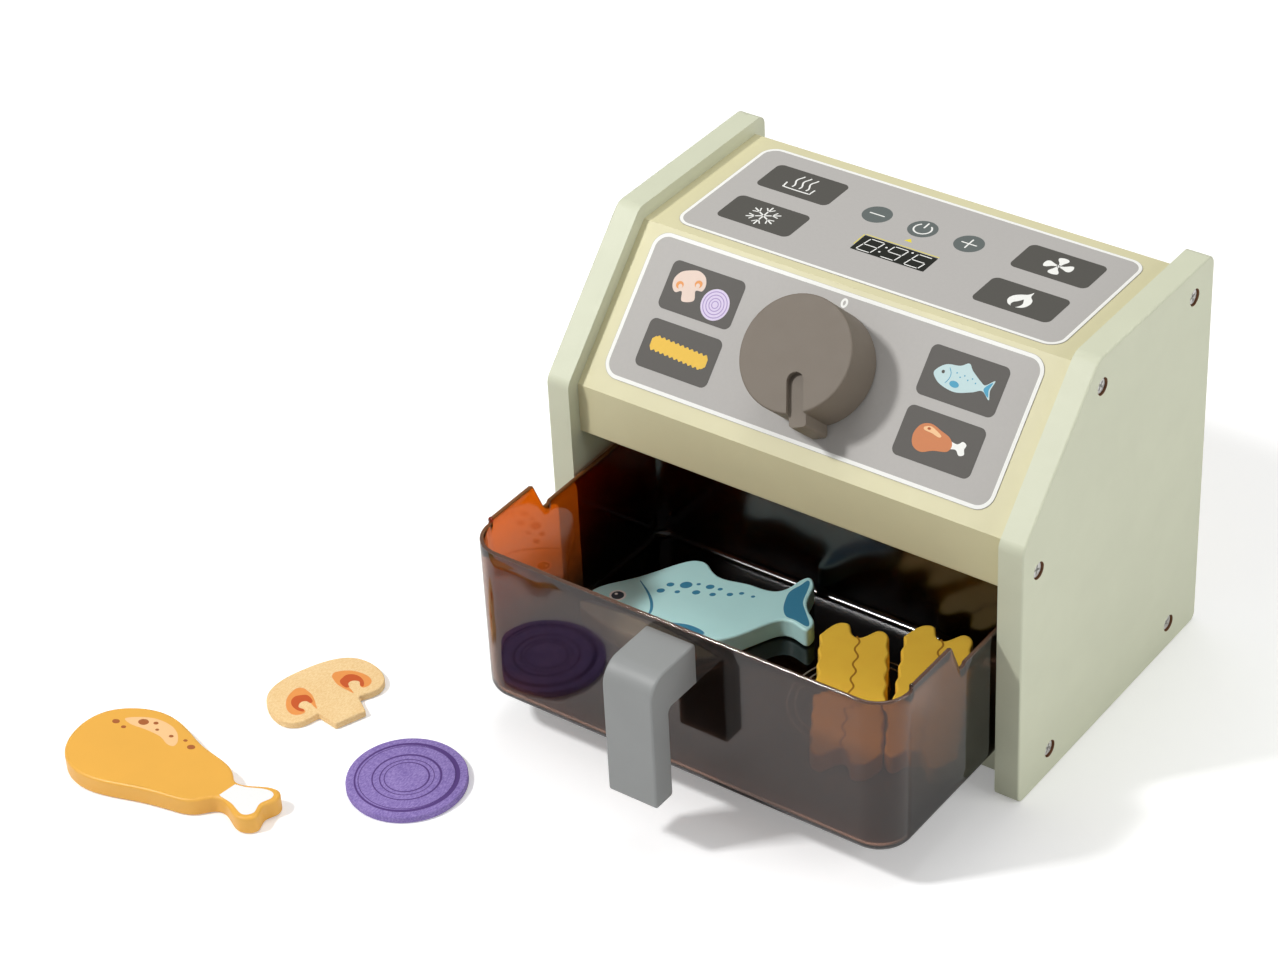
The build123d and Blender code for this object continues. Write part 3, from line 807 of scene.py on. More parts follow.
@dataclass
class TopPrint:
    """Frame, keys, display and round buttons printed on the top board's film.

    The frame is given by its middle's x and y, its width and its height, all in mm.
    """

    inks: Inks
    frame: tuple[float, float, float, float] = (0.0, 105.0, 194.2, 75.2)
    frame_corner: float = 7.1
    line: float = 1.5
    key: KeySize = KeySize(38.2, 20.6)
    key_x: float = 65.8
    key_rows: tuple[float, float] = (122.0, 90.7)
    button_y: float = 117.8
    button_step: float = 23.6
    button_radius: float = 6.9
    display_y: float = 94.0
    icon_line: float = 0.75
    twig_line: float = 0.65
    sign_line: float = 0.7
    digit_line: float = 0.55
    page: Print = field(init=False)

    def __post_init__(self) -> None:
        """Start the print on the top board's film."""
        self.page = Print(TOP_SHEET)

    def build(self) -> bpy.types.Object:
        """Print the frame and keys, then each drawing about its own middle.

        Returns:
            The printed piece.
        """
        outline = rounded_box(*self.frame, self.frame_corner, 12)
        self.page.stroke(outline, self.line, self.inks.white, 2, True)
        for side in (-1, 1):
            for row in self.key_rows:
                self.page.fill(self.key.outline(side * self.key_x, row), self.inks.charcoal)
        high, low = self.key_rows
        drawings = ((self.steam, -self.key_x, high), (self.snowflake, -self.key_x, low),
                    (self.fan, self.key_x, high), (self.flame, self.key_x, low),
                    (self.buttons, 0.0, self.button_y), (self.display, 0.0, self.display_y))
        for draw, x, y in drawings:
            self.page.about(x, y)
            draw()
        return self.page.finish("top_print", Body.HOUSING, "printed_film")

    def steam(self) -> None:
        """Draw a dish under three wavy lines."""
        dish = np.array([(-7.4, -1.6), (-7.0, -4.4), (-6.0, -5.4), (6.0, -5.4), (7.0, -4.4), (7.4, -1.6)])
        self.page.stroke(smooth(dish, 6, False), self.icon_line, self.inks.white, 2)
        rise = np.linspace(-3.4, 6.2, 24)
        for offset in (-3.7, 0.0, 3.7):
            wave = np.stack([offset - 0.75 * np.sin(rise * 0.72), rise], axis=1)
            self.page.stroke(wave, self.icon_line, self.inks.white, 2)

    def snowflake(self) -> None:
        """Draw six arms, each with a pair of twigs."""
        for turn in range(0, 360, 60):
            arm = rotate(np.array([(0.0, 0.0), (0.0, 7.6)]), turn)
            self.page.stroke(arm, self.icon_line, self.inks.white, 2)
            twig = np.array([(-2.0, 6.2), (0.0, 3.8), (2.0, 6.2)])
            self.page.stroke(rotate(twig, turn), self.twig_line, self.inks.white, 2)

    def fan(self) -> None:
        """Draw four blades, each wider towards its tip."""
        blade = smooth([(0.4, 0.4), (1.2, 2.6), (2.2, 5.0), (1.4, 6.5), (-0.8, 6.8), (-2.8, 6.0),
                        (-2.6, 4.5), (-1.1, 2.6), (-0.3, 0.9)], 6)
        for turn in range(0, 360, 90):
            self.page.fill(rotate(blade, turn), self.inks.white, 2)
        self.page.fill(disc(0, 0, 1.0), self.inks.white, 2)

    def flame(self) -> None:
        """Draw a flame with one high tongue and a small inner flame left open at its foot."""
        outer = smooth([(1.9, 7.2), (2.1, 7.4), (2.2, 7.0), (2.6, 4.0), (4.7, 1.4), (5.2, -1.8),
                        (3.8, -5.0), (0.6, -6.3), (-3.2, -5.4), (-5.2, -2.2), (-4.6, 1.0), (-2.4, 3.2),
                        (0.6, 4.9)], 6)
        inner = smooth([(0.9, 0.6), (1.0, 0.7), (1.1, 0.4), (2.3, -2.6), (1.7, -5.2), (0.0, -6.6),
                        (-2.0, -5.4), (-1.9, -3.2), (-0.6, -1.8)], 6)
        self.page.fill(outer, self.inks.white, 2)
        self.page.fill(inner, self.inks.charcoal, 3)

    def buttons(self) -> None:
        """Draw minus, power and plus on round buttons."""
        for step in (-1, 0, 1):
            self.page.fill(disc(step * self.button_step, 0.0, self.button_radius), self.inks.slate)
        bar = np.array([(-3.6, 0.0), (3.6, 0.0)])
        self.page.stroke(bar - (self.button_step, 0.0), self.sign_line, self.inks.white, 2)
        self.page.stroke(bar + (self.button_step, 0.0), self.sign_line, self.inks.white, 2)
        self.page.stroke(rotate(bar, 90) + (self.button_step, 0.0), self.sign_line, self.inks.white, 3)
        angle = np.radians(np.linspace(130, 410, 40))
        circle = np.stack([np.cos(angle), np.sin(angle)], axis=1) * 4.1
        self.page.stroke(circle, self.icon_line, self.inks.white, 2)
        self.page.stroke(np.array([(0.0, 1.2), (0.0, 5.1)]), self.icon_line, self.inks.white, 2)

    def display(self) -> None:
        """Draw a dark window with three leaning seven-segment digits."""
        self.page.fill(rounded_box(0.0, 0.2, 37.4, 12.6, 0.5), self.inks.black)
        for start, end in (((-18.4, 7.2), (18.7, 7.2)), ((-19.2, 6.6), (-19.2, -2.0))):
            self.page.stroke(np.array([start, end]), 0.45, self.inks.yellow, 1)
        self.page.fill(np.array([(-1.9, 11.6), (1.9, 11.6), (0.0, 14.2)]), self.inks.yellow, 1)
        for x, segments in ((-11.9, "abcdefg"), (0.4, "abcdfg"), (12.5, "acdefg")):
            self.digit(x, segments)
        for x, y in ((-5.2, 2.4), (-6.0, -2.1), (6.8, 4.6)):
            self.page.fill(disc(x, y, 0.55, count=16), self.inks.white, 2)

    def digit(self, x: float, segments: str) -> None:
        """Draw one leaning seven-segment digit.

        Args:
            x: The digit's middle in mm, from the display's.
            segments: Letters of its lit segments, from a at the top round to f, and g across the middle.
        """
        ends = {"a": ((0, 2), (1, 2)), "b": ((1, 2), (1, 1)), "c": ((1, 1), (1, 0)), "d": ((0, 0), (1, 0)),
                "e": ((0, 1), (0, 0)), "f": ((0, 2), (0, 1)), "g": ((0, 1), (1, 1))}
        for letter in segments:
            column, row = np.array(ends[letter], float).T
            flat = np.stack([(column - 0.5) * 7.2 + (row - 1) * 0.8, (row - 1) * 5.0], axis=1)
            middle = flat.mean(0)
            bar = (flat - middle) * 0.8 + middle + (x, 0.0)
            self.page.stroke(bar, self.digit_line, self.inks.white, 2)


@dataclass
class ControlPrint:
    """Frame, food keys and numeral printed on the control board's film.

    The frame is given by its middle's x and y, its width and its height, and each side's keys by their x and
    their two rows' y, all in mm.
    """

    inks: Inks
    frame: tuple[float, float, float, float] = (-1.5, 42.2, 197.0, 67.2)
    frame_corner: float = 7.1
    line: float = 1.7
    key: KeySize = KeySize(38.4, 22.6)
    left_keys: tuple[float, float, float] = (-67.9, 55.3, 28.0)
    right_keys: tuple[float, float, float] = (64.6, 56.7, 29.3)
    page: Print = field(init=False)

    def __post_init__(self) -> None:
        """Start the print on the control board's film."""
        self.page = Print(CONTROL_SHEET)

    def build(self) -> bpy.types.Object:
        """Print the frame and keys, then each drawing about its own middle, then the numeral.

        Returns:
            The printed piece.
        """
        outline = rounded_box(*self.frame, self.frame_corner, 12)
        self.page.stroke(outline, self.line, self.inks.white, 2, True)
        for x, *rows in (self.left_keys, self.right_keys):
            for row in rows:
                self.page.fill(self.key.outline(x, row), self.inks.ash)
        left, left_high, left_low = self.left_keys
        right, right_high, right_low = self.right_keys
        drawings = ((self.mushroom, left - 7.6, left_high + 2.0, 18.0),
                    (self.onion, left + 8.1, left_high - 2.4, 0.0), (self.fries, left, left_low, -3.0),
                    (self.fish, right, right_high, 5.0), (self.drumstick, right, right_low, 4.0))
        for draw, x, y, turn in drawings:
            self.page.about(x, y, turn)
            draw()
        self.page.about(0.0, 0.0)
        self.page.stroke(disc(-1.0, 71.7, 1.65, 0.7, 90.0, 32), 1.05, self.inks.white, 1, True)
        return self.page.finish("control_print", Body.HOUSING, "printed_film")

    def mushroom(self) -> None:
        """Draw a mushroom slice with two dark gills."""
        half = [(0.0, 6.8), (4.4, 6.3), (7.6, 3.6), (8.2, -0.2), (6.6, -2.8), (3.4, -2.6), (2.9, -7.0)]
        outline = half + [(-px, py) for px, py in reversed(half[1:])]
        self.page.fill(smooth(outline, 6), self.inks.blush, 2)
        for side in (-1, 1):
            self.page.fill(disc(side * 4.6, 0.4, 1.9, 0.9), self.inks.apricot, 3)
            self.page.fill(disc(side * 4.3, -0.3, 1.0, 1.1), self.inks.blush, 4)

    def onion(self) -> None:
        """Draw an onion slice as rings."""
        self.page.fill(disc(0, 0, 7.1), self.inks.lilac, 2)
        for radius in (5.9, 4.4, 2.9, 1.6):
            self.page.stroke(disc(0, 0, radius), 0.45, self.inks.violet, 3, True)

    def fries(self) -> None:
        """Draw one crinkled fry lying across the key."""
        along = np.linspace(-13.0, 13.0, 80)
        wave = 0.4 * np.sin(along * 2.6)
        upper = np.stack([along, 3.0 + wave], axis=1)
        lower = np.stack([along, -3.0 + wave], axis=1)[::-1]
        outline = np.concatenate([upper, [(14.2, 1.8), (14.4, -1.2)], lower, [(-14.2, -1.8), (-14.4, 1.2)]])
        self.page.fill(outline * (1.05, 1.1), self.inks.corn, 2)

    def fish(self) -> None:
        """Draw a fish that faces left, with tail, fin, gill line and dots."""
        body = smooth([(-13.0, 1.6), (-9.0, 4.6), (-3.0, 5.2), (0.6, 6.8), (3.0, 4.4), (7.6, 1.2),
                       (10.0, 0.2), (13.6, 2.6), (12.6, -1.4), (13.2, -5.0), (9.4, -2.2), (5.0, -3.6),
                       (-2.0, -5.0), (-9.0, -3.4), (-12.8, -0.6)], 6)
        self.page.fill(body * (1.05, 1.12), self.inks.ice, 2)
        tail = smooth([(10.2, -0.4), (12.9, 1.7), (12.0, -1.4), (12.6, -4.1), (10.0, -2.0)], 6)
        self.page.fill(tail * (1.05, 1.12), self.inks.teal, 3)
        self.page.fill(disc(-3.4, -2.4, 2.3, 0.6, -8), self.inks.teal, 3)
        gill = smooth([(-7.4, 4.0), (-6.2, 1.8), (-6.4, -0.6), (-7.6, -2.6)], 6, False)
        self.page.stroke(gill, 0.35, self.inks.teal, 3)
        self.page.fill(disc(-9.9, 1.8, 0.75), self.inks.charcoal, 3)
        for step in range(6):
            dot = disc(step * 1.9 - 3.6, 2.6 - (step % 2) * 1.3 - step * 0.25, 0.35, count=12)
            self.page.fill(dot, self.inks.teal, 3)

    def drumstick(self) -> None:
        """Draw a roast drumstick with a white bone at its right."""
        bone = smooth([(4.0, 1.4), (8.4, 0.8), (10.6, 2.4), (12.6, 1.4), (12.2, -0.6), (12.8, -2.8),
                       (10.6, -3.6), (8.4, -1.6), (4.0, -2.0)], 6)
        self.page.fill(bone, self.inks.white, 2)
        meat = smooth([(-12.4, 0.4), (-10.2, 5.0), (-5.6, 6.4), (-0.4, 4.6), (4.4, 2.6), (6.4, -0.4),
                       (4.8, -3.4), (-1.2, -4.4), (-6.6, -6.2), (-11.0, -4.4)], 6)
        self.page.fill(meat, self.inks.roast, 3)
        shine = smooth([(-8.4, 4.4), (-5.4, 5.3), (-1.8, 3.8), (0.4, 2.4), (-0.6, 1.6), (-4.2, 2.6),
                        (-7.8, 3.2)], 6)
        self.page.fill(shine, self.inks.pale, 4)
        self.page.fill(disc(-6.0, 4.2, 0.8, 0.7), self.inks.rust, 5)


@dataclass
class DrawerMoulding:
    """The see-through drawer: one closed surface swept round its plan outline."""

    material: bpy.types.Material
    rim_material: bpy.types.Material
    half_width: float = 108.5
    front_y: float = -80.0
    length: float = 139.0
    bottom_z: float = 19.4
    wall: float = 1.9
    floor: float = 2.4
    front_corner: float = 16.0
    rear_corner: float = 10.0
    floor_edge: float = 5.0
    inside_edge: float = 4.0
    front_rim: float = 100.0
    wing_rim: float = 102.3
    bin_rim: float = 87.8
    wing_start: float = 16.5
    wing_end: float = 47.0

    def rim_steps(self) -> Points:
        """Return the rim's height at distances behind the front wall.

        Returns:
            Distances and heights in mm, of shape (n, 2).
        """
        end = self.wing_end
        return np.array([
            (-1.0, self.front_rim), (self.wing_start, self.front_rim), (self.wing_start + 1, self.wing_rim),
            (end - 1.5, self.wing_rim), (end, self.wing_rim - 0.8), (end + 6.2, self.bin_rim - 0.6),
            (end + 7.5, self.bin_rim - 1.3), (end + 10, self.bin_rim - 1.3), (end + 11, self.bin_rim),
            (self.length + 1, self.bin_rim)])

    def plan(self) -> tuple[Points, Points]:
        """Return the plan outline and its inward normals, counter-clockwise from the front middle.

        The right half runs along the front, round a quarter circle, along the side, round another quarter
        circle and along the back, and the left half mirrors it.

        Returns:
            Points and unit normals, each of shape (n, 2).
        """
        steps = self.rim_steps()[:, 0]
        front, rear, half = self.front_corner, self.rear_corner, self.half_width
        centre = self.length - rear
        stops = np.concatenate([steps, steps - 0.15, steps + 0.15, np.linspace(front, centre, 60)])
        stops = np.unique(stops[(stops > front) & (stops < centre)])
        quarter = np.linspace(0, np.pi / 2, 22)
        sine, cosine = np.sin(quarter), np.cos(quarter)
        runs = ((np.linspace(0, half - front, 40)[:-1], 0.0, 0.0, 1.0),
                (half - front + front * sine, front - front * cosine, -sine, cosine),
                (half, stops, -1.0, 0.0),
                (half - rear + rear * cosine, centre + rear * sine, -cosine, -sine),
                (np.linspace(half - rear, 0, 40)[1:], self.length, 0.0, -1.0))
        right = np.concatenate([np.stack(np.broadcast_arrays(*run), axis=1) for run in runs])
        left = right[1:-1][::-1] * (-1, 1, -1, 1)
        both = np.concatenate([right, left])
        return both[:, :2], both[:, 2:]

    def profile(self) -> Points:
        """Return the wall's section as inset, height above the bottom and share of the rim's height.

        The section runs from the floor's underside, round the lower edge, up the wall, over the
        rounded rim and down to the floor inside. A share of 2 marks the rounded rim, whose heights
        count from the wall's upper end.

        Returns:
            Rows of shape (n, 3), lengths in mm.
        """
        quarter = np.linspace(0, np.pi / 2, 9)
        edge, inside, half = self.floor_edge, self.inside_edge, self.wall / 2
        rows = [(edge - edge * math.sin(a), edge - edge * math.cos(a), 0.0) for a in quarter]
        rows += [(0.0, edge, share) for share in np.linspace(0, 1, 12)[1:]]
        top = np.linspace(0, np.pi, 9)[1:-1]
        rows += [(half - half * math.cos(a), half * math.sin(a), 2.0) for a in top]
        rows += [(self.wall, self.floor + inside, share) for share in np.linspace(1, 0, 12)]
        rows += [(self.wall + inside - inside * math.cos(a), self.floor + inside - inside * math.sin(a), 0.0)
                 for a in quarter[1:]]
        return np.array(rows)

    def build(self) -> bpy.types.Object:
        """Sweep the section round the plan; each wall row lies a share of the way up to the rim.

        Returns:
            The drawer, with its rim in the second material slot.
        """
        plan, inward = self.plan()
        steps = self.rim_steps()
        rim = np.interp(plan[:, 1], steps[:, 0], steps[:, 1]) - self.bottom_z - self.wall / 2
        profile = self.profile()
        rings = []
        for inset, height, share in profile:
            flat = plan + inward * inset + (0.0, self.front_y)
            rise = rim + height if share > 1 else height + (rim - height) * share
            rings.append(np.column_stack([flat, self.bottom_z + rise]))
        shell = Shell()
        shell.stack((np.array(rings) + SET_SHIFT) * MILLIMETRE)
        # The rim rows take the second material, whose lighter, less clear tint paints a highlight along the
        # rim.
        high = profile[:, 2] >= 1
        on_rim = np.repeat(high[:-1] & high[1:], len(plan))
        shell.slots[:len(on_rim)] = on_rim.astype(int).tolist()
        self.nubs(shell)
        piece = shell.build("drawer_moulding", [self.material, self.rim_material])
        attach(piece, Body.DRAWER.value)
        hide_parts("drawer")
        return piece

    def nubs(self, shell: Shell) -> None:
        """Add the round nub on the rim at the start of each wing.

        Args:
            shell: The drawer's surfaces.
        """
        circle = disc(0, 0, 1.0, count=20)
        tilt = np.linspace(0, np.pi, 12)[1:-1]
        ball = np.array([np.column_stack([circle * 1.15 * math.sin(a), np.full(20, -1.5 * math.cos(a))])
                         for a in tilt])
        for side in (-1, 1):
            centre = (side * (self.half_width - self.wall / 2), self.front_y + self.wing_start + 1,
                      self.wing_rim - 1.0)
            shell.stack((ball + centre + SET_SHIFT) * MILLIMETRE)


@dataclass
class FloorRings:
    """Pairs of thin raised rings moulded on the drawer's floor."""

    material: bpy.types.Material
    centres: tuple[tuple[float, float], ...] = ((-54.0, 0.0), (41.0, 0.0))
    radii: tuple[float, ...] = (31.0, 27.5)
    width: float = 0.8
    height: float = 0.26
    floor_z: float = 21.8
    sides: int = 120

    def build(self) -> bpy.types.Object:
        """Build each ring as a low round bead: a half ellipse carried round a circle.

        Returns:
            The rings as one piece.
        """
        shell = Shell()
        angle = np.linspace(0, np.pi, 7)
        reach, rise = self.width / 2 * np.cos(angle), self.floor_z + self.height * np.sin(angle)
        for x, y in self.centres:
            for radius in self.radii:
                loops = [np.column_stack([disc(x, y, radius + out, count=self.sides),
                                          np.full(self.sides, up)]) for out, up in zip(reach, rise)]
                shell.band((np.array(loops) + SET_SHIFT) * MILLIMETRE)
        piece = shell.build("floor_rings", [self.material])
        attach(piece, Body.DRAWER.value)
        return piece


@dataclass
class FishPrint:
    """Spots, gill, eye, fin and tail printed on the fish."""

    inks: Inks
    sheet: Sheet = Sheet((0.0, 0.0, 32.1)).turned(-47.0, 10.5, 28.0)

    def build(self) -> bpy.types.Object:
        """Print everything.

        Returns:
            The printed piece.
        """
        sheet = Print(self.sheet)
        blue = Ink("fish blue ink", "3F87A6").build()
        tail = smooth([(36.2, 13.2), (40.6, 18.4), (43.4, 22.0), (44.6, 19.8), (43.9, 13.4), (42.9, 5.6),
                       (45.2, -2.6), (47.2, -9.4), (46.2, -11.8), (40.6, -7.6), (36.4, -5.2), (34.6, 0.2),
                       (34.8, 7.0)], 6)
        sheet.fill(tail, blue)
        fin = smooth([(-20.6, -13.8), (-14.0, -13.6), (-5.5, -15.0), (1.2, -19.8), (-2.4, -24.2),
                      (-7.0, -24.4), (-17.0, -19.6)], 6)
        sheet.fill(fin, blue)
        gill = smooth([(-32.5, 16.4), (-27.4, 7.0), (-24.9, -1.2), (-25.2, -8.0),
                       (-29.6, -14.6)], 8, False)
        widths = 0.3 + 1.1 * np.sin(np.linspace(0.1, np.pi - 0.1, len(gill)))[:, None]
        side = normals(gill, False) * widths / 2
        sheet.fill(np.concatenate([gill + side, (gill - side)[::-1]]), blue)
        for x, y, radius in ((-22.2, 9.6, 1.9), (-18.4, 14.4, 1.8), (-14.6, 9.2, 1.3), (-11.2, 14.6, 2.9),
                             (-6.0, 9.4, 1.9), (-5.6, 15.6, 1.0), (-0.2, 14.0, 2.0), (1.6, 8.4, 1.5),
                             (4.6, 12.6, 1.2), (9.4, 9.0, 1.5), (14.6, 10.2, 1.2), (20.0, 8.2, 1.0)):
            sheet.fill(disc(x, y, radius, 0.82, 20, 24), blue)
        sheet.fill(disc(-41.2, 4.6, 3.9, count=32), self.inks.white)
        sheet.fill(disc(-41.2, 4.6, 2.9, count=32), Ink("fish eye ink", "3E434B").build(), 2)
        sheet.fill(disc(-42.0, 5.6, 0.75, count=16), self.inks.white, 3)
        return sheet.finish("fish_print", Body.FISH, "fish_paint")


@dataclass
class DrumstickPrint:
    """White bone, light patch and brown spots printed on the drumstick."""

    inks: Inks
    sheet: Sheet = Sheet((-198.0, -186.0, 9.0))

    def build(self) -> bpy.types.Object:
        """Print everything.

        Returns:
            The printed piece.
        """
        sheet = Print(self.sheet)
        bone = smooth([(32.8, 5.7), (38.0, 6.9), (45.8, 10.3), (50.4, 10.2), (52.0, 7.2), (50.2, 1.6),
                       (51.8, -4.4), (48.0, -7.8), (39.8, -4.9), (33.4, -4.0), (31.8, -3.6), (31.5, -3.3),
                       (31.5, -2.8), (32.5, 5.2)], 8)
        sheet.fill(bone, Ink("bone white ink", "F3F3F1").build())
        patch = smooth([(-39.4, 13.4), (-35.0, 17.4), (-28.0, 20.6), (-20.0, 21.0), (-13.4, 18.8),
                        (-8.6, 14.2), (-8.0, 10.6), (-11.6, 10.2), (-17.6, 12.4), (-26.0, 12.6),
                        (-34.4, 11.8)], 8)
        sheet.fill(patch, Ink("light batter ink", "F4C58C").build())
        spot = Ink("brown spot ink", "A9602F").build()
        for x, y, radius in ((-41.6, 9.7, 1.8), (-36.0, 8.6, 1.2), (-30.7, 16.0, 2.5), (-25.4, 18.4, 1.2),
                             (-21.8, 15.2, 0.9), (-13.4, 15.2, 1.1), (-6.0, 16.4, 1.0), (-0.8, 14.3, 1.9)):
            sheet.fill(disc(x, y, radius, 0.8, 15, 24), spot, 2)
        return sheet.finish("drumstick_print", Body.DRUMSTICK, "drumstick_paint")


@dataclass
class MushroomPrint:
    """Two gills printed on the mushroom slice."""

    sheet: Sheet = Sheet((0.0, 0.0, 3.5)).turned(-178.0, -104.0, 68.5)

    def build(self) -> bpy.types.Object:
        """Print everything.

        Returns:
            The printed piece.
        """
        sheet = Print(self.sheet)
        light = Ink("gill orange ink", "EE9A4F").build()
        dark = Ink("gill rust ink", "CC5A26").build()
        outer = np.array([(6.8, 6.0), (7.3, 8.4), (9.6, 10.2), (13.1, 9.2), (16.8, 6.6), (19.6, 2.4),
                          (20.9, -2.0), (20.2, -5.6), (17.6, -7.4), (15.0, -7.2), (14.4, -5.2),
                          (15.6, -2.6), (14.7, -0.8), (12.8, 0.2), (10.8, -0.6), (9.9, -3.0), (9.8, -6.0),
                          (9.4, -8.2), (8.4, -5.2), (7.2, -1.6), (6.5, 2.4)])
        inner = np.array([(8.6, 3.3), (10.6, 4.6), (13.4, 5.4), (16.2, 3.7), (17.6, 0.2), (17.2, -3.8),
                          (15.4, -6.4), (14.6, -5.0), (15.6, -2.6), (14.7, -0.8), (12.8, 0.2),
                          (10.8, -0.6), (9.9, -3.0), (8.4, -2.2), (8.0, 0.8)])
        for side in (-1, 1):
            sheet.fill(smooth(outer * (side, 1), 6), light)
            sheet.fill(smooth(inner * (side, 1), 6), dark, 2)
        return sheet.finish("mushroom_print", Body.MUSHROOM, "mushroom_paint")


@dataclass
class OnionPrint:
    """Rings of varying width printed on an onion slice."""

    ink: bpy.types.Material
    name: str
    body: Body
    sheet: Sheet

    def build(self) -> bpy.types.Object:
        """Draw each ring off-centre on its inner edge, so that it is thick on one side.

        Returns:
            The printed piece.
        """
        sheet = Print(self.sheet)
        rings = ((23.4, 1.4, 0.55, 35.0), (21.6, 0.4, 0.05, 0.0), (15.6, 0.8, 0.25, 80.0),
                 (12.2, 0.45, 0.1, 200.0), (10.2, 0.6, 0.2, 20.0))
        for radius, width, drift, turn in rings:
            shift = rotate(np.array([[drift, 0.0]]), turn + 180)
            outer = disc(0, 0, radius, count=96)
            inner = disc(0, 0, radius - width, count=96) + shift
            sheet.ring(outer, inner, self.ink)
        return sheet.finish(self.name, self.body, "onion_paint")


@dataclass
class FriesSeam:
    """The wavy line printed between two joined fries; its place is x and y in mm and a turn in degrees."""

    name: str
    body: Body
    place: tuple[float, float, float]
    ink: bpy.types.Material
    top_z: float = 32.1
    length: float = 76.0
    width: float = 0.9
    sway: float = 1.4
    wave: float = 0.9
    wave_length: float = 10.6

    def build(self) -> bpy.types.Object:
        """Draw a line down the pair: a sine wave on a slow cosine.

        Returns:
            The printed piece.
        """
        sheet = Print(Sheet((0.0, 0.0, self.top_z)).turned(*self.place))
        half = self.length / 2
        down = np.linspace(half, -half, 160)
        sway = self.sway * np.cos(np.pi * (down - half) / self.length)
        wave = self.wave * np.sin(down * 2 * np.pi / self.wave_length)
        sheet.stroke(np.stack([sway + wave, down], axis=1), self.width, self.ink)
        return sheet.finish(self.name, self.body, "fries_paint")


def stand(name: str, data: Union[bpy.types.Camera, bpy.types.Light], axes: Sequence[Points],
          spot: Points) -> bpy.types.Object:
    """Put a camera or a lamp in the scene.

    Args:
        name: Its name.
        data: Its camera or light data.
        axes: Unit vectors to its right, up and behind it.
        spot: Its place in metres.

    Returns:
        The new object.
    """
    matrix = np.identity(4)
    matrix[:3, :3] = np.stack(axes, axis=1)
    matrix[:3, 3] = spot
    item = bpy.data.objects.new(name, data)
    item.matrix_world = Matrix(matrix.tolist())
    bpy.context.scene.collection.objects.link(item)
    return item


@dataclass(frozen=True)
class Lamp:
    """A square soft light, with its place, size and aim in metres and its power in watts."""

    name: str
    spot: tuple[float, float, float]
    size: float
    power: float
    aim: tuple[float, float, float] = (0.05, 0.05, 0.1)

    def build(self) -> None:
        """Hang the lamp so that it faces its aim."""
        data = bpy.data.lights.new(self.name, "AREA")
        data.shape = "SQUARE"
        data.size = self.size
        data.energy = self.power
        back = np.array(self.spot) - self.aim
        back /= np.linalg.norm(back)
        right = np.cross((0.0, 0.0, 1.0), back)
        right /= np.linalg.norm(right)
        stand(self.name, data, (right, np.cross(back, right), back), np.array(self.spot))


@dataclass
class Studio:
    """Camera, lamps, floor and background, with lengths in mm and angles in degrees where not said."""

    focal_pixels: float = 3523.6
    picture_pixels: float = 1278.0
    sensor: float = 36.0
    azimuth: float = 37.6103
    elevation: float = 35.1894
    roll: float = -3.1937
    slide: tuple[float, float] = (-105.277, -15.915)
    distance: float = 1567.93
    target: tuple[float, float, float] = (0.0, 78.42, 98.05)
    soft_light: float = 0.3
    floor_half_metres: float = 4.0
    floor_drop_metres: float = 0.0002
    fade_metres: tuple[float, float] = (0.6, 1.6)
    near_glow: float = 0.25
    lamps: tuple[Lamp, ...] = (
        Lamp("front_key", (-0.7, -0.88, 1.46), 0.2, 19.5), Lamp("overhead", (-0.1, 0.5, 1.95), 1.0, 9.5),
        Lamp("fill", (1.9, 0.3, 0.9), 1.2, 13.5))

    def camera(self) -> None:
        """Place the camera at the photograph's viewing angle."""
        a, e, r = (math.radians(angle) for angle in (self.azimuth, self.elevation, self.roll))
        back = np.array([math.sin(a) * math.cos(e), -math.cos(a) * math.cos(e), math.sin(e)])
        level = np.array([math.cos(a), math.sin(a), 0.0])
        rise = np.cross(back, level)
        right = math.cos(r) * level + math.sin(r) * rise
        up = math.cos(r) * rise - math.sin(r) * level
        spot = np.array(self.target) + SET_SHIFT + back * self.distance
        spot += right * self.slide[0] + up * self.slide[1]
        data = bpy.data.cameras.new("camera")
        data.lens = self.focal_pixels * self.sensor / self.picture_pixels
        data.sensor_width = self.sensor
        data.clip_start = 0.05
        data.clip_end = 20.0
        bpy.context.scene.camera = stand("camera", data, (right, up, back), spot * MILLIMETRE)

    def world(self) -> None:
        """Light all round with soft white, and show plain white to the camera and through the drawer."""
        world = bpy.data.worlds.new("studio")
        graph = Graph(world)
        graph.nodes.clear()
        soft = graph.add("ShaderNodeBackground", {"Color": srgb("FFFFFF"), "Strength": self.soft_light})
        plain = graph.add("ShaderNodeBackground", {"Color": srgb("FFFFFF"), "Strength": 1.0})
        mix = graph.add("ShaderNodeMixShader", {0: graph.seen(), 1: soft.outputs[0], 2: plain.outputs[0]})
        graph.add("ShaderNodeOutputWorld", {0: mix.outputs[0]})
        bpy.context.scene.world = world

    def floor(self) -> None:
        """Lay a wide plain floor that fades to white far from the toy, a hair under its feet."""
        corners = np.array([(-1.0, -1.0, 0.0), (1.0, -1.0, 0.0), (1.0, 1.0, 0.0), (-1.0, 1.0, 0.0)])
        shell = Shell()
        shell.add(corners * self.floor_half_metres, [[0, 1, 2, 3]])
        graph = Graph(bpy.data.materials.new("white table"))
        reach = graph.add("ShaderNodeVectorMath", {0: graph.place()}, operation="LENGTH").outputs["Value"]
        fade = graph.span(reach, *self.fade_metres, self.near_glow, 1.0)
        glow = graph.math("MULTIPLY", graph.seen(), fade)
        graph.feed(graph.shader, {"Base Color": srgb("FAFAFA"), "Roughness": 0.9, "Specular IOR Level": 0.1,
                                  "Emission Color": srgb("FFFFFF"), "Emission Strength": glow})
        table = shell.build("table", [graph.owner])
        table.location.z = -self.floor_drop_metres

    def build(self) -> None:
        """Set up the whole studio."""
        bpy.context.scene.view_settings.view_transform = "Standard"
        self.camera()
        self.world()
        self.floor()
        for lamp in self.lamps:
            lamp.build()


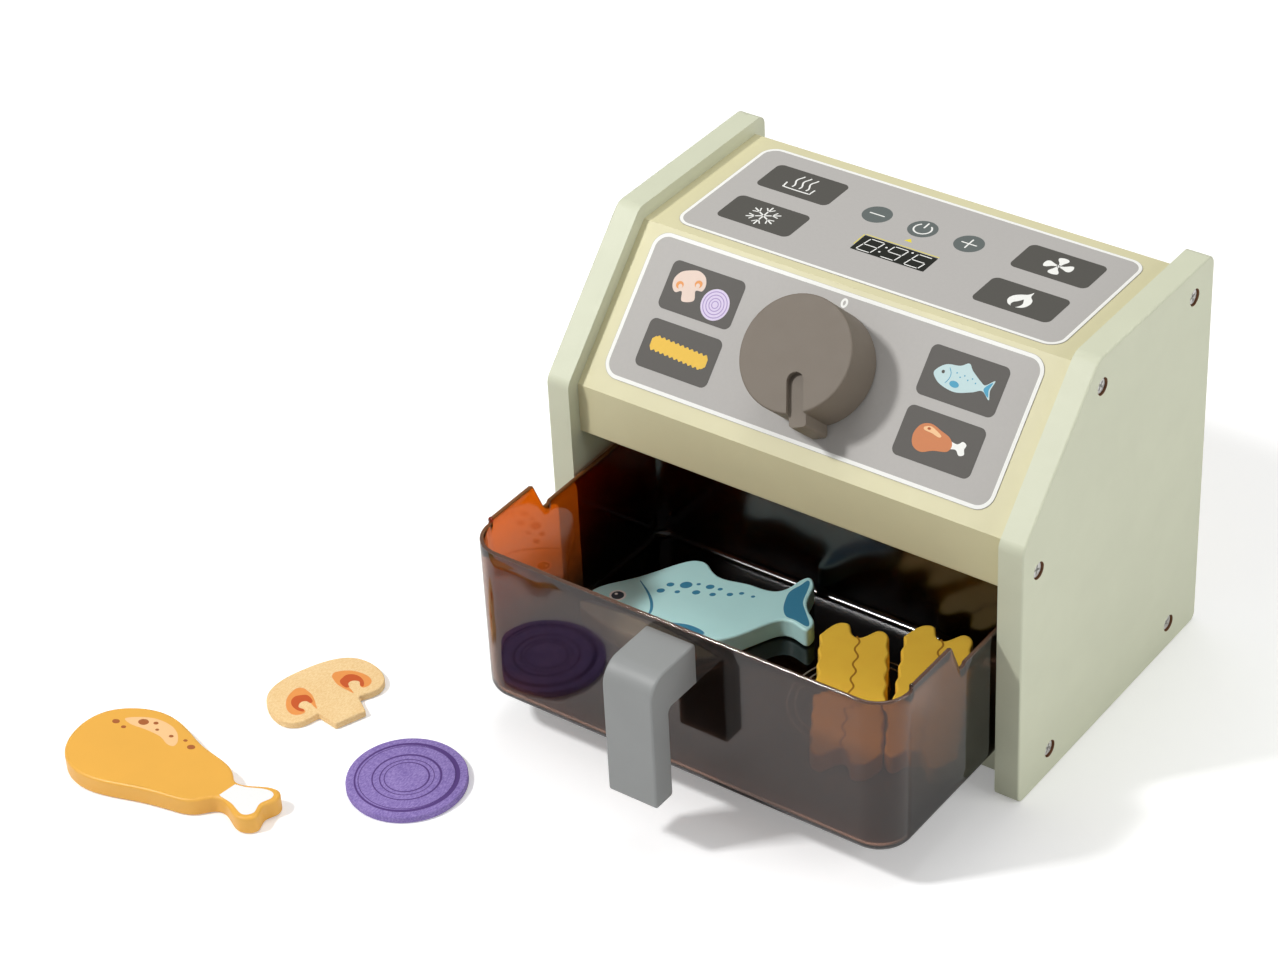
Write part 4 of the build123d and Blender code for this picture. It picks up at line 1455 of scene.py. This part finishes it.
@dataclass
class NodeFinishes:
    """Gives each kept CAD node its real material."""

    nodes: dict[str, bpy.types.Object]

    def build(self) -> None:
        """Build the finishes and set the nodes' material slots."""
        sage = WelledPaint("sage paint on fibreboard", "CFD2B9", wells=SCREW_WELLS).build()
        cream = Paint("cream paint on fibreboard", "D6D0A8").build()
        film = Ink("grey printed film", "B4B1AD").build()
        steel = Plated("zinc plated steel", "E4E4E1", 0.42, 0.7).build()
        taupe = Paint("taupe paint on turned wood", "746A5E", 0.62, texture_mm=0.6).build()
        batter = Paint("fries paint on wood", "FFCC47", 0.45, 0.04, 12.0).build()
        onion = Fibrous("violet dyed onion face", "9C88C6", "7B66AA").build()
        grey = Paint("grey paint on wood", "8E908F", texture_mm=0.7, texture_depth=0.03).build()
        wearers = {
            sage: ("left_side_panel", "right_side_panel", "base_board"),
            cream: ("top_board", "control_board", "front_lip", "back_board"),
            film: ("top_label", "control_label"),
            steel: ("left_panel_screws", "right_panel_screws", "handle_screws", "handle_washers",
                    "knob_washer", "knob_screw"),
            taupe: ("knob", "knob_pointer"),
            batter: ("front_fries", "back_fries"),
            onion: ("table_onion",),
            Plated("turned brass", "D8B766").build(): ("knob_insert",),
            Ink("white nylon", "EFEFEA", 0.4).build(): ("knob_bushing",),
            Fibrous("grey pressed felt", "7C7A77", "5E5C5A").build(): ("knob_felt_pad",),
            grey: ("handle",),
            Paint("fish paint on wood", "C4F2F0", 0.42, 0.02).build(): ("fish",),
            Paint("drumstick paint on wood", "EBAF48", 0.38, 0.02).build(): ("drumstick",),
            Fibrous("mushroom dyed wood", "F9D9A3", "EEC78B", 0.6, 0.05).build(): ("mushroom",)}
        for material, names in wearers.items():
            for name in names:
                for slot in self.nodes[name].material_slots:
                    slot.material = material


def main() -> None:
    """Build the pieces round the frame in order."""
    logging.basicConfig(level=logging.INFO)
    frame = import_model()
    NodeFinishes(frame["nodes"]).build()
    inks = Inks.make()
    smoked = Smoked().build()
    # The rim's lighter, less clear copy of the plastic paints a highlight along the rim.
    rim = Smoked("smoked polycarbonate rim", glow="B9743F", clear=0.55).build()
    # The bead's light grey at the floor paints the thin highlights on the floor rings.
    bead = Smoked("smoked polycarbonate bead", painted_light_at_floor="8A8480", clear=0.3).build()
    ring_ink = Ink("onion ring ink", "563B7E").build()
    seam_ink = Ink("fries seam ink", "A87420").build()
    makers = [
        TopPrint(inks), ControlPrint(inks), DrawerMoulding(smoked, rim), FloorRings(bead),
        FishPrint(inks), DrumstickPrint(inks), MushroomPrint(),
        OnionPrint(ring_ink, "table_onion_print", Body.TABLE_ONION, Sheet((-109.6, -131.0, 3.5))),
        FriesSeam("front_fries_seam", Body.FRONT_FRIES, (40.6, -5.8, 30.3), seam_ink),
        FriesSeam("back_fries_seam", Body.BACK_FRIES, (70.7, 10.8, 26.0), seam_ink)]
    for maker in makers:
        piece = maker.build()
        LOG.info("built %s with %d faces", piece.name, len(piece.data.polygons))
    Studio().build()


if __name__ == "__main__":
    main()
